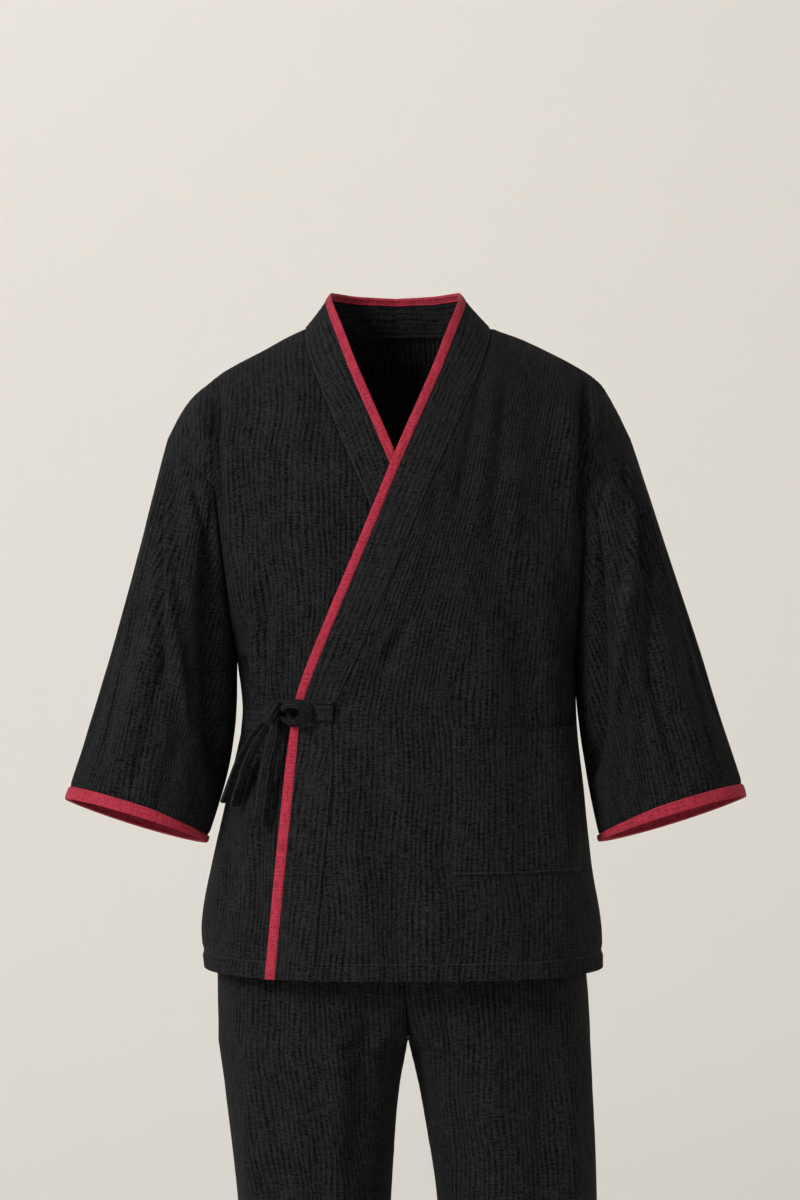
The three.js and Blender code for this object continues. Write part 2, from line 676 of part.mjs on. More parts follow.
const strapEnd = seamX(1, TIE_Z) - 1;
addStrap("tie_strap_front", KNOT.x + KNOT.wide + 2, strapEnd, OVERLAP_LIFT + 2.6, -5.5);
addStrap("tie_strap_side", -159, KNOT.x - KNOT.wide - 2, STRAP.lift, -18);
addKnot();

const K = knotCentre();
// The tails hang from under the knot, and swing to the wearer's right.
addRibbon("tie_tail_outer", [
  { at: V(K.x - 43.8, K.y + 19, K.z - 94), across: V(1, -0.25, -0.35), wide: 21 },
  { at: V(K.x - 36.7, K.y + 12, K.z - 71.5), across: V(1, -0.3, -0.35), wide: 19 },
  { at: V(K.x - 29, K.y + 6, K.z - 49), across: V(1, -0.4, -0.5), wide: 17 },
  { at: V(K.x - 18.4, K.y, K.z - 28), across: V(1, -0.5, -0.55), wide: 15 },
  { at: V(K.x - 9, K.y - 3, K.z - 16), across: V(1, -0.4, -0.5), wide: 9 },
]);
addRibbon("tie_tail_inner", [
  { at: V(K.x - 11.3, K.y - 9, K.z - 113), across: V(1, 0.1, -0.2), wide: 20 },
  { at: V(K.x - 8.6, K.y - 9, K.z - 92), across: V(1, 0.1, -0.2), wide: 18 },
  { at: V(K.x - 5.3, K.y - 8, K.z - 67), across: V(1, 0.1, -0.2), wide: 17 },
  { at: V(K.x - 1.5, K.y - 8, K.z - 44), across: V(1, 0.1, -0.15), wide: 16 },
  { at: V(K.x + 4, K.y - 7, K.z - 22), across: V(1, 0.1, -0.1), wide: 14 },
  { at: V(K.x + 5, K.y - 5, K.z - 14.5), across: V(1, 0.1, 0), wide: 9 },
]);

// The bow's loop: its strap turns from the knot's top, out to the wearer's left, and back under the knot.
// Its front edge is drawn in tighter than its back edge, so the outside shows all round the hollow.
const LOOP = {
  front: { x: -110.2, z: -398.2, across: 10, up: 8.4, out: OVERLAP_LIFT + 25 },
  back: { x: -102.9, z: -397.5, across: 17, up: 14.5, out: OVERLAP_LIFT + 7 },
  turn: 0.86,
};

function addLoop() {
  const edgeAt = ({ x, z, across, up, out }, angle) => {
    const [px, pz] = [x + across * Math.cos(angle), z + up * Math.sin(angle)];
    return V(px, bodyY("front", px, pz) - out, pz);
  };
  const grid = steps(12).map((share) => {
    const angle = mix(-LOOP.turn, LOOP.turn, share) * HALF_TURN;
    return [edgeAt(LOOP.back, angle), edgeAt(LOOP.front, angle)];
  });
  addPiece("tie_loop", shell(grid, { wall: STRAP_WALL, outward: -1 }), BLACK);
}
addLoop();

// ---------------------------------------------------------------- the trousers

// A point of a trouser panel: u goes from the centre seam or inseam to the side seam.
function trouserPoint(side, face, u, z) {
  const sign = face === "front" ? -1 : 1;
  const hip = (column) => lookUp(HIPS, "z", Math.max(z, CROTCH.z), column);
  const table = side < 0 ? LEG_RIGHT : LEG_LEFT;
  const leg = (column) => lookUp(table, "z", Math.min(z, CROTCH.z), column);
  // A leg's inner and outer edges are measured from the middle, on its own side of it.
  const round = (1 - Math.cos(u * HALF_TURN)) / 2;
  const legY = leg(face) * Math.sin(u * HALF_TURN) ** 0.85;
  const x = mix(leg("inner"), leg("outer"), round);
  const down = clamp01((CROTCH.top - z) / (CROTCH.top - CROTCH.z));
  const hipHalf = hip(side < 0 ? "right" : "left");
  const hipX = mix(side * CROTCH.x * down, hipHalf, round);
  const hipY = hip(face) * Math.sqrt(Math.max(0, 1 - (hipX / hipHalf) ** 2)) ** 0.82;
  // The centre seam runs under the crotch in a quarter circle, and the thigh follows more slowly.
  const atSeam = 1 - Math.sqrt(1 - down * down);
  const onThigh = smooth((CROTCH.top - z) / (CROTCH.top - CROTCH.thighZ));
  const split = mix(atSeam, onThigh, smooth(u / 0.4));
  const across = z > CROTCH.z ? mix(hipX, x, down * down) : x;
  return V(side * across, sign * mix(hipY, legY, split), z);
}

const TROUSER_LEVELS = [
  ...steps(3).map((share) => mix(HIPS[0].z, CROTCH.top, share)),
  ...[30, 50, 66, 80, 90].map((degrees) =>
    mix(CROTCH.top, CROTCH.z, Math.sin(THREE.MathUtils.degToRad(degrees))),
  ),
  ...steps(6)
    .slice(1)
    .map((share) => mix(CROTCH.z, LEG_LEFT[LEG_LEFT.length - 1].z, share)),
].reverse();

function addTrouserPanel(name, side, face, columns) {
  const outward = face === "front" ? side : -side;
  const grid = TROUSER_LEVELS.map((z) => steps(columns).map((u) => trouserPoint(side, face, u, z)));
  const gap = (SEAM_GAP / 2 + 0.05) * (face === "front" ? -1 : 1);
  grid.forEach((row) => {
    const [first, last] = [row[0], row[columns]];
    if (first.z > CROTCH.z - 1) first.x += side * 0.25;
    if (first.z < CROTCH.z + 1) first.y = gap;
    last.y = gap;
  });
  const rims = (j, i) => {
    const { z } = grid[j][i];
    if (i === columns) return V(side, 0, 0);
    if (i > 0) return null;
    if (z < CROTCH.z - 1) return V(-side, 0, 0);
    if (z < CROTCH.z + 1) return V(-side * 0.7, 0, -0.7);
    const down = clamp01((CROTCH.top - z) / (CROTCH.top - CROTCH.z));
    return V(0, (face === "front" ? -1 : 1) * Math.sqrt(1 - down * down), -down).normalize();
  };
  const relief = (p, j, i) => (i > 0 && i < columns ? foldDepth(TROUSER_FOLDS, face, p.x, p.z) : 0);
  addPiece(name, shell(grid, { wall: CLOTH, outward, rims, relief }), BLACK);
}

for (const [suffix, side] of [
  ["right", -1],
  ["left", 1],
]) {
  addTrouserPanel("trouser_front_" + suffix, side, "front", 7);
  addTrouserPanel("trouser_back_" + suffix, side, "back", 7);
}

// The waistband is drawn in by its elastic, so it ripples.
function addWaistband() {
  const around = 60;
  const bottom = HIPS[0].z + SEAM_GAP;
  const grid = [bottom, bottom + WAISTBAND.height].map((z) =>
    Array.from({ length: around }, (_, i) => {
      const angle = (i / around) * 2 * HALF_TURN;
      const ripple = WAISTBAND.gatherDepth * Math.cos(WAISTBAND.gathers * angle);
      const x = (HIPS[0].left + ripple) * signedPower(Math.sin(angle), 0.82);
      const depth = Math.cos(angle) > 0 ? HIPS[0].front : HIPS[0].back;
      return V(x, -(depth + ripple) * signedPower(Math.cos(angle), 0.82), z);
    }),
  );
  addPiece("waistband", shell(grid, { wall: WAISTBAND.wall, closed: true, lift: 1 }), BLACK);
}
addWaistband();

export default jinbei;
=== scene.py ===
"""The looks of a jinbei set: a wrap jacket and trousers of black crinkled gauze, bound in crimson.

Every panel is a wall of fine mesh on the same rings and curves as its CAD solid, in the same sizes, with
its folds placed one by one and the gauze's crinkles worked into the surface. Sizes are in millimetres until
a mesh is made. +Z is up, +X is the wearer's left, and the front faces -Y.
"""

import math

import bpy
import numpy as np
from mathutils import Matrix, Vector


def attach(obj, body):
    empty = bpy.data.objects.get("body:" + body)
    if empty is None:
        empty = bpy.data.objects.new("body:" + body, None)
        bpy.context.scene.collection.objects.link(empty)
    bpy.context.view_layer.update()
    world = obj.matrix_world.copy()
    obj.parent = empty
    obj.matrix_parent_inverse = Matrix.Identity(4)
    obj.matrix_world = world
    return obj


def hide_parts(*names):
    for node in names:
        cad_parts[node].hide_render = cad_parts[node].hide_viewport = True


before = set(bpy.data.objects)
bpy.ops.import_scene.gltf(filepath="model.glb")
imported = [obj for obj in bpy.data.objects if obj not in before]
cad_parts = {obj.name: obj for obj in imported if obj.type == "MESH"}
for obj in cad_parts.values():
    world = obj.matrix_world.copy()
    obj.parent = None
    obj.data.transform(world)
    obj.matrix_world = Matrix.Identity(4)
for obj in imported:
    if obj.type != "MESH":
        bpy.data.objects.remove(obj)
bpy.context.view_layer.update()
MM = 0.001

# ---------------------------------------------------------------- the garment's sizes, as cut and worn


def table(columns, *rows):
    """The rows of a table, each with its columns' names."""
    return [dict(zip(columns.split(), row)) for row in rows]


CLOTH = 2.0
BAND_WALL = 2.6
BINDING_WALL = 3.4
STRAP_WALL = 2.4
BAND = {"width": 48, "drawn_in": 8, "drawn_height": 35}
BINDING_WIDTH = 10
CUFF_BINDING_WIDTH = 13.5
OVERLAP_LIFT = 5
YOKE_Z = -168
HEM_Z = -665
TIE_Z = -400
UNDERARM_Z = -345
ARMHOLE_GROOVE_TOP = -122

BODY = table(
    "z right left front back square",
    (-665, 204, 211, 143, 138, 2.5),
    (-620, 207, 210, 140, 134, 2.5),
    (-560, 197, 200, 134, 129, 2.5),
    (-470, 178, 191, 127, 120, 2.5),
    (-405, 165, 184, 122, 114, 2.5),
    (-345, 171, 183, 123, 117, 2.5),
    (-250, 182, 186, 126, 124, 2.6),
    (-168, 190, 190, 123, 128, 2.7),
)
EDGE_BELOW = table(
    "z x",
    (-665, -134),
    (-587, -127),
    (-504, -119),
    (-424, -110),
    (-374, -101),
    (-304, -75),
    (-234, -46),
    (-168, -19),
)
EDGE_ABOVE = table(
    "at x y z",
    (0.00, -19, -123, -168),
    (0.10, 0, -119, -122),
    (0.22, 19, -107, -78),
    (0.34, 35, -89, -40),
    (0.46, 48, -66, -5),
    (0.58, 59, -34, 24),
    (0.70, 62, 2, 38),
    (0.80, 57, 38, 42),
    (0.90, 35, 68, 42),
    (1.00, -5, 80, 41),
)
EDGE_CENTRE = -5
NECK = {"centre": -2.5, "bow": 9}
NECK_BACK = table(
    "at out y z",
    (0.00, 94.5, 8, 3),
    (0.35, 83, 55, 3),
    (0.70, 45, 88, 1),
    (1.00, 0, 97, 0),
)
SHOULDER = table(
    "at right left y z",
    (0.00, 97, 92, 8, 3),
    (0.13, 119, 123, 8, -7.5),
    (0.30, 147, 157, 8, -23),
    (0.52, 184, 194, 8, -43),
    (0.62, 200, 209, 8, -55),
    (0.74, 217, 219, 8, -69),
    (0.88, 231, 230, 8, -88),
    (1.00, 245, 243, 8, -115),
)
ARMHOLE = {"front": (190, -76, YOKE_Z), "back": (192, 82, YOKE_Z)}
YOKE_PART = 7 / 12  # of a half armhole ring, counted from the shoulder
CUFF = {
    "right": {"outer": (346, -44, -490), "inner": (200, -46, -534)},
    "left": {"outer": (358, -44, -487), "inner": (206, -46, -533)},
    "half_depth": 53,
    "front_rise": 0.2,
    "lens": 1.35,
}
SLEEVE_HEAD = 26  # how far below the armhole its folds begin
SLEEVE = {"swell": 17, "right": {"fill": 11, "hollow": 5}, "left": {"fill": 5, "hollow": -1}}

HIPS = table(
    "z right left front back",
    (-395, 150, 150, 100, 98),
    (-470, 163, 164, 106, 108),
    (-560, 178, 180, 113, 118),
    (-640, 190, 192, 117, 122),
    (-742, 190, 199, 114, 120),
)
LEG = {
    "right": table(
        "z inner outer front back",
        (-742, -8, 190, 106, 112),
        (-800, 2, 182, 99, 106),
        (-912, 9.5, 169, 92, 99),
        (-1090, 14, 161, 86, 94),
    ),
    "left": table(
        "z inner outer front back",
        (-742, 8.8, 199, 106, 112),
        (-800, 22, 202, 99, 106),
        (-912, 39, 207, 92, 99),
        (-1090, 50, 211, 86, 94),
    ),
}
CROTCH = {"x": 8.4, "z": -742, "top": -630, "thigh": -890}
TROUSER_HEM_Z = -1090
WAISTBAND = {"height": 34, "wall": 3.4, "gathers": 46, "depth": 1.5}
POCKET = {"x": 52, "bottom": -560, "height": 147, "width": 148, "lift": 2.0, "wall": 1.8}
KNOT = {"x": -130, "z": -398, "out": 21, "wide": 11, "tall": 12.5, "deep": 9.5}
STRAP_HEIGHT = 21
STRAP_WIDTH = 24
STRAP_RIM = 0.9
LOOP = {
    "front": {"x": -110.2, "z": -398.2, "across": 10, "up": 8.4, "out": OVERLAP_LIFT + 25},
    "back": {"x": -102.9, "z": -397.5, "across": 17, "up": 14.5, "out": OVERLAP_LIFT + 7},
    "turn": 0.89,
}

# How far in from each kind of edge its topstitching runs, and how far it stands on the cloth.
HEM_DEPTH = 17
TROUSER_HEM_DEPTH = 25
POCKET_HEM_DEPTH = 19
POCKET_STITCH = 2.4
BAND_STITCH = 2.2
BINDING_STITCH = 1.8
WAIST_STITCHES = (3.0, WAISTBAND["height"] - 4.0)
STITCH_LIFT = 0.25
BINDING_STITCH_LIFT = 0.15

# The grooves that seams and hems press into the cloth, and the gauze's own relief.
GROOVE = {"wide": 2.6, "stitch_wide": 1.1, "stitch_share": 0.8, "beside": 2.5, "beside_share": 0.5}
HEM_RELIEF = {"thick": 0.9, "over": 2.0, "groove": 1.3, "wide": 1.6}
GROOVE_PLACES = (0.6, 1.3, 2.1, 2.9, 3.8)
RIDGE_SPACING = 5.6
RELIEF = {"ridges": 0.26, "uneven": 0.2, "rolling": 0.85}
PRESSED = {"band": 0.7, "pocket": 0.8, "strap": 0.4}  # how much of the relief is left after pressing
SEEDS = {
    "front_right": 2,
    "front_left": 3,
    "back": 5,
    "band": 7,
    "pocket": 9,
    "sleeve": 11,
    "trousers": 20,
    "strap": 31,
}

# Folds, each from one end (x, z) to the other, half its width, and how far it lifts (+) or sinks (-) at its
# middle. The back, the sleeves and the trousers hang looser than the fronts, so that theirs are deeper.
LOOSE = 1.3
FRONT_LEFT_FOLDS = [
    ((84, -40), (58, -190), 5, -3.8),
    ((97, -55), (74, -215), 6, 3.4),
    ((108, -60), (92, -225), 5, -3.6),
    ((122, -75), (112, -260), 8, 3.0),
    ((40, -150), (22, -270), 5, -2.0),
    ((172, -70), (176, -300), 9, 4.5),
    ((192, -62), (187, -200), 7, -13),
    ((194, -134), (221, -100), 4, -3.2),
    ((192, -116), (212, -74), 4.5, 2.6),
    ((205, -118), (228, -92), 4, 2.4),
    ((12, -300), (-30, -378), 5, -3),
    ((22, -228), (-20, -340), 5, 2.6),
    ((150, -220), (168, -620), 18, 6),
    ((120, -300), (132, -640), 15, -3),
    ((86, -330), (84, -600), 18, 3.4),
    ((-20, -300), (-72, -385), 7, 2.2),
    ((0, -320), (-66, -398), 6, -2.4),
    ((20, -350), (-60, -408), 8, 1.8),
    ((-60, -430), (-30, -640), 15, 4.4),
    ((-22, -450), (2, -650), 14, -2.4),
    ((30, -520), (34, -655), 13, 3.4),
    ((60, -600), (68, -664), 9, -2.0),
    ((110, -600), (116, -664), 12, 2.2),
]
FRONT_RIGHT_FOLDS = [
    ((-192, -66), (-188, -190), 7, -12),
    ((-194, -138), (-222, -106), 4, -3.2),
    ((-192, -120), (-214, -80), 4.5, 2.6),
    ((-174, -80), (-168, -300), 9, 4.5),
    ((-88, -40), (-66, -170), 6, -2.2),
    ((-104, -60), (-92, -240), 8, 2.0),
    ((-176, -205), (-136, -196), 5, -2.0),
    ((-176, -232), (-140, -216), 6, 1.8),
    ((-174, -258), (-136, -238), 5, -2.2),
    ((-168, -322), (-134, -302), 6, -2.2),
    ((-150, -230), (-146, -378), 8, 4),
    ((-133, -255), (-139, -384), 6, -4),
    ((-119, -290), (-133, -388), 6, 3.4),
    ((-108, -320), (-126, -392), 5, -2.6),
    ((-161, -345), (-150, -396), 4.5, -14),
    ((-150, -330), (-140, -392), 5, 3.5),
    ((-146, -420), (-158, -560), 10, 3.5),
    ((-166, -430), (-180, -640), 12, -3.5),
    ((-136, -450), (-150, -650), 9, -3),
]
BACK_FOLDS = [
    ((-192, -70), (-190, -200), 9, -8),
    ((192, -66), (190, -210), 9, -8),
    ((-172, -90), (-164, -330), 11, 4),
    ((174, -90), (166, -300), 10, 4),
    ((-70, -150), (-95, -650), 24, 5),
    ((-112, -300), (-128, -650), 16, -4),
    ((85, -170), (70, -650), 22, 5),
    ((118, -280), (124, -650), 14, -3.5),
    ((5, -330), (-12, -655), 26, -5),
    ((36, -420), (28, -655), 12, 2.5),
    ((-40, -460), (-48, -655), 12, -2.5),
    ((-60, -30), (-30, -90), 9, 2),
    ((58, -30), (26, -96), 9, 2),
    ((-150, -370), (-30, -392), 10, -2.5),
    ((20, -384), (158, -366), 12, -2.5),
]
# The sleeves' folds, at a share of the way round from the shoulder down the front (0.25), under the arm
# (0.5) and up the back, and at a share of the way down from the armhole.
SLEEVE_RIGHT_FOLDS = [
    ((0.135, 0.02), (0.16, 0.30), 8, -6),
    ((0.16, 0.25), (0.27, 0.62), 9, -6.5),
    ((0.10, 0.05), (0.11, 0.55), 9, 4),
    ((0.14, 0.06), (0.33, 0.66), 8, 6),
    ((0.31, 0.06), (0.42, 0.66), 20, -14),
    ((0.19, 0.00), (0.29, 0.13), 5, -4),
    ((0.25, 0.00), (0.34, 0.15), 5, 3.5),
    ((0.13, 0.48), (0.14, 0.93), 6, -3),
    ((0.25, 0.52), (0.24, 0.95), 6, -3),
    ((0.20, 0.55), (0.19, 0.95), 14, 3.5),
    ((0.06, 0.35), (0.07, 0.90), 8, -2.8),
    ((0.33, 0.62), (0.30, 0.96), 10, -3),
    ((0.66, 0.03), (0.70, 0.60), 12, -6),
    ((0.76, 0.10), (0.78, 0.80), 13, 5),
    ((0.86, 0.25), (0.84, 0.92), 11, -4),
]
SLEEVE_LEFT_FOLDS = [
    ((0.15, 0.01), (0.17, 0.34), 8, -6.5),
    ((0.17, 0.30), (0.25, 0.66), 10, -5.5),
    ((0.23, 0.06), (0.17, 0.16), 5, 3.5),
    ((0.11, 0.05), (0.12, 0.60), 10, 4.5),
    ((0.13, 0.04), (0.34, 0.62), 8, 6.5),
    ((0.30, 0.05), (0.43, 0.64), 21, -15),
    ((0.20, 0.00), (0.30, 0.12), 5, -4),
    ((0.26, 0.00), (0.36, 0.14), 5, 3.5),
    ((0.12, 0.45), (0.13, 0.94), 6, -3),
    ((0.24, 0.50), (0.23, 0.95), 6, -3),
    ((0.18, 0.60), (0.17, 0.96), 13, 3),
    ((0.07, 0.30), (0.06, 0.80), 8, -3),
    ((0.28, 0.66), (0.31, 0.97), 10, -3.2),
    ((0.67, 0.04), (0.69, 0.55), 12, -6),
    ((0.75, 0.15), (0.79, 0.85), 13, 5),
    ((0.85, 0.20), (0.86, 0.90), 11, -4),
]
TROUSER_FRONT_FOLDS = [
    ((-30, -668), (-48, -860), 10, -4),
    ((-60, -690), (-66, -1000), 14, 4),
    ((-128, -720), (-120, -1060), 14, -3.5),
    ((-158, -740), (-146, -1070), 12, 3),
    ((-16, -716), (-56, -742), 6, -3),
    ((40, -672), (66, -870), 11, -3.6),
    ((92, -700), (96, -1010), 16, 4),
    ((150, -720), (140, -1050), 13, -3.6),
    ((176, -760), (178, -1070), 10, 3),
    ((30, -720), (70, -748), 6, -3),
]
TROUSER_BACK_FOLDS = [
    ((-40, -690), (-78, -840), 11, -5),
    ((-90, -690), (-80, -1060), 20, 5),
    ((-140, -760), (-132, -1060), 14, -4),
    ((46, -690), (88, -850), 11, -5),
    ((104, -690), (118, -1060), 20, 5),
    ((164, -740), (168, -1060), 14, -4),
]

# ---------------------------------------------------------------- curves, noise and shells

QUARTER = math.pi / 2


def mix(a, b, t):
    return a + (b - a) * t


def smooth(t):
    t = np.clip(t, 0, 1)
    return t * t * (3 - 2 * t)


def signed_power(a, p):
    return np.sign(a) * np.abs(a) ** p


def look_up(rows, key, at, column):
    """A table's column at a place, on a smooth curve through its rows."""
    rows = sorted(rows, key=lambda row: row[key])
    keys = np.array([row[key] for row in rows], float)
    values = np.array([row[column] for row in rows], float)
    slopes = np.empty_like(values)
    slopes[1:-1] = (values[2:] - values[:-2]) / (keys[2:] - keys[:-2])
    slopes[0] = (values[1] - values[0]) / (keys[1] - keys[0])
    slopes[-1] = (values[-1] - values[-2]) / (keys[-1] - keys[-2])
    at = np.asarray(at, float)
    k = np.clip(np.searchsorted(keys, at, side="right") - 1, 0, len(keys) - 2)
    span = keys[k + 1] - keys[k]
    t = np.clip((at - keys[k]) / span, 0, 1)
    t2, t3 = t * t, t**3
    low = values[k] * (2 * t3 - 3 * t2 + 1) + slopes[k] * span * (t3 - 2 * t2 + t)
    return low + values[k + 1] * (3 * t2 - 2 * t3) + slopes[k + 1] * span * (t3 - t2)


def along_table(rows, at):
    return np.stack([look_up(rows, "at", at, axis) for axis in "xyz"], axis=-1)


def side_name(side):
    return "right" if side < 0 else "left"


NOISE_SIZE = 256
NOISE = np.random.default_rng(41).uniform(-1, 1, (NOISE_SIZE, NOISE_SIZE))


def noise(u, v, seed=0):
    """Smooth noise from -1 to 1, with one new value for each step of u and v."""
    u, v = np.asarray(u, float) + 31.7 * seed, np.asarray(v, float) + 17.3 * seed
    i, j = np.floor(u).astype(int), np.floor(v).astype(int)
    s, t = smooth(u - i), smooth(v - j)

    def corner(a, b):
        return NOISE[(i + a) % NOISE_SIZE, (j + b) % NOISE_SIZE]

    return mix(mix(corner(0, 0), corner(1, 0), s), mix(corner(0, 1), corner(1, 1), s), t)


def grain(u, v, seed):
    """Where a place lies across the gauze's ridges, which wander a little as they run along v."""
    return u + 4.5 * noise(u / 40, v / 75, seed + 1) + 1.3 * noise(u / 13, v / 30, seed + 6)


def crinkle(cloth, seed):
    """The gauze's crinkles in millimetres: long ridges along it, stronger and weaker in turn."""
    across, v = cloth[..., 0], cloth[..., 1]
    ridges = np.cos(across / RIDGE_SPACING * 2 * math.pi)
    strength = 0.62 + 0.38 * noise(across / 17, v / 42, seed + 2)
    uneven = noise(across / 3.4, v / 30, seed + 3)
    rolling = noise(across / 38, v / 85, seed + 5)
    return RELIEF["ridges"] * ridges * strength + RELIEF["uneven"] * uneven + RELIEF["rolling"] * rolling


def folds(rows, x, z, reach=None):
    """How far the folds of a table move the cloth out. reach gives the sizes of a unit of x and z."""
    moved = np.zeros_like(x, dtype=float)
    width, height = reach or (1.0, 1.0)
    for (from_x, from_z), (to_x, to_z), wide, deep in rows:
        x0, z0 = from_x * width, from_z * height
        dx, dz = to_x * width - x0, to_z * height - z0
        t = ((x * width - x0) * dx + (z * height - z0) * dz) / (dx * dx + dz * dz)
        nearest = np.clip(t, 0, 1)
        away = np.hypot(x * width - x0 - nearest * dx, z * height - z0 - nearest * dz)
        fade = smooth((t + 0.2) / 0.4) * smooth((1.2 - t) / 0.4)
        moved += deep * fade * np.exp(-((away / wide) ** 2))
    return moved


def lengths(points, axis):
    """The distance walked over a grid along one of its ways."""
    steps = np.linalg.norm(np.diff(points, axis=axis), axis=-1)
    start = np.zeros_like(np.take(steps, [0], axis=axis))
    return np.cumsum(np.concatenate([start, steps], axis=axis), axis=axis)


def normals(points, outward):
    across, up = np.gradient(points, axis=1), np.gradient(points, axis=0)
    n = np.cross(across, up)
    return outward * n / np.maximum(np.linalg.norm(n, axis=-1, keepdims=True), 1e-9)


def edge_distances(points):
    """How far each point of a grid is from its first and last column, and from its first and last row."""
    across, up = lengths(points, 1), lengths(points, 0)
    return {
        "start": across,
        "end": across[:, -1:] - across,
        "bottom": up,
        "top": up[-1:, :] - up,
    }


def bump(distance, wide):
    return np.exp(-((distance / wide) ** 2))


def sewn(points, seams, hems=None):
    """The cloth sinks into its seams and stitched lines by the depth given for each, and a hem is thicker."""
    distances = edge_distances(points)
    moved = np.zeros(points.shape[:2])
    for name, depth in seams.items():
        inside = distances[name]
        seam = np.exp(-inside / GROOVE["wide"]) + GROOVE["stitch_share"] * bump(inside, GROOVE["stitch_wide"])
        moved -= depth * seam
        moved -= GROOVE["beside_share"] * depth * bump(inside - GROOVE["beside"], GROOVE["stitch_wide"])
    for name, depth in (hems or {}).items():
        inside = distances[name]
        thick = HEM_RELIEF["thick"] * smooth((depth - inside) / HEM_RELIEF["over"])
        moved += thick - HEM_RELIEF["groove"] * bump(inside - depth, HEM_RELIEF["wide"])
    return moved


def sewn_shares(count, size):
    """Even shares of a size, with a few more beside its two ends for the seams' narrow grooves."""
    beside = np.array(GROOVE_PLACES) / size
    return np.sort(np.concatenate([np.linspace(0, 1, count), beside, 1 - beside]))


def seam_fade(points, seams, over=7.0):
    distances = edge_distances(points)
    fade = np.ones(points.shape[:2])
    for name in seams:
        fade *= smooth(distances[name] / over)
    return fade


def make_mesh(name, vertices, faces, uv, material):
    mesh = bpy.data.meshes.new(name)
    mesh.from_pydata((vertices * MM).tolist(), [], faces)
    layer = mesh.uv_layers.new(name="Cloth")
    order = np.empty(len(mesh.loops), dtype=np.int32)
    mesh.loops.foreach_get("vertex_index", order)
    layer.data.foreach_set("uv", (uv[order] * MM).astype(np.float32).ravel())
    mesh.shade_smooth()
    mesh.set_sharp_from_angle(angle=math.radians(55))
    mesh.materials.append(material)
    piece = bpy.data.objects.new(name, mesh)
    bpy.context.scene.collection.objects.link(piece)
    return piece


def cloth_wall(name, outer, uv, wall, outward, material):
    """A closed wall of cloth: a grid of outer points, and the same grid one thickness further in."""
    rows, columns = outer.shape[:2]
    inner = outer - normals(outer, outward) * wall
    vertices = np.concatenate([outer.reshape(-1, 3), inner.reshape(-1, 3)])
    number = np.arange(rows * columns).reshape(rows, columns)
    deep = number + rows * columns

    def quads(a, b, c, d):
        corners = (a, b, c, d) if outward > 0 else (a, d, c, b)
        return np.stack([corner.ravel() for corner in corners], axis=-1)

    faces = np.concatenate(
        [
            quads(number[:-1, :-1], number[:-1, 1:], number[1:, 1:], number[1:, :-1]),
            quads(deep[:-1, :-1], deep[1:, :-1], deep[1:, 1:], deep[:-1, 1:]),
            quads(number[0, :-1], deep[0, :-1], deep[0, 1:], number[0, 1:]),
            quads(number[-1, 1:], deep[-1, 1:], deep[-1, :-1], number[-1, :-1]),
            quads(number[:-1, 0], number[1:, 0], deep[1:, 0], deep[:-1, 0]),
            quads(number[1:, -1], number[:-1, -1], deep[:-1, -1], deep[1:, -1]),
        ]
    )
    flat = uv.reshape(-1, 2)
    return make_mesh(name, vertices, faces.tolist(), np.concatenate([flat, flat]), material)


# ---------------------------------------------------------------- the jacket's surface


def armhole_below(side, face, z):
    fold = ARMHOLE[face]
    across = look_up(BODY, "z", UNDERARM_Z, side_name(side))
    share = np.clip((z - YOKE_Z) / (UNDERARM_Z - YOKE_Z), 0, 1)
    return mix(fold[0], across, share), fold[1] * np.sqrt(1 - share**2)


def section_end(side, face, z):
    if z > UNDERARM_Z:
        return armhole_below(side, face, z)
    return float(look_up(BODY, "z", z, side_name(side))), 0.0


def oval(side, face, z):
    end_x, end_y = section_end(side, face, z)
    depth = float(look_up(BODY, "z", z, face))
    power = 2 / float(look_up(BODY, "z", z, "square"))
    angle = math.acos((abs(end_y) / depth) ** (1 / power))
    return end_x / math.sin(angle) ** power, depth, power


def body_y(face, x, z):
    """How far the body's surface stands from the side seams, at a level."""
    x = np.asarray(x, float)
    left, right = oval(1, face, z), oval(-1, face, z)
    half = np.where(x < 0, right[0], left[0])
    power = left[2]
    inside = np.maximum(0, 1 - np.abs(x / half) ** (2 / power))
    return (-1 if face == "front" else 1) * left[1] * inside ** (power / 2)


LINE_POINTS = 400


def level_line(side, face, z, start, shares):
    """A level line from x = start to the side: its points, and how far each is from the middle."""
    half, _, power = oval(side, face, z)
    end = section_end(side, face, z)
    first = math.asin(float(signed_power(start * side / half, 1 / power)))

    def arc(from_angle):
        angle = np.linspace(from_angle, QUARTER, LINE_POINTS)
        x = side * half * signed_power(np.sin(angle), power)
        y = body_y(face, x, z)
        return x, y, np.concatenate([[0], np.cumsum(np.hypot(np.diff(x), np.diff(y)))])

    x, y, along = arc(first)
    last = max(1, int(np.max(np.nonzero(np.abs(y) >= abs(end[1]))[0])))
    cut = along[-1] - along[last]
    want = along[-1] * shares - cut * shares**2
    line = np.stack([np.interp(want, along, x), np.interp(want, along, y), np.full(len(want), z)], axis=-1)
    if shares[-1] == 1:
        line[-1, :2] = side * end[0], end[1]
    from_middle = arc(0.0)[2][-1] - along[-1]
    return line, from_middle + want


def rising(base, top, share):
    """A row between the yoke's level and the shoulder line."""
    rise, lean = math.sin(share * QUARTER), math.cos(share * QUARTER) ** 1.3
    row = mix(base, top, rise)
    row[..., 1] = mix(top[..., 1], base[..., 1], lean)
    return row


def shoulder_points(side, at):
    x = side * look_up(SHOULDER, "at", at, side_name(side))
    return np.stack([x, look_up(SHOULDER, "at", at, "y"), look_up(SHOULDER, "at", at, "z")], axis=-1)


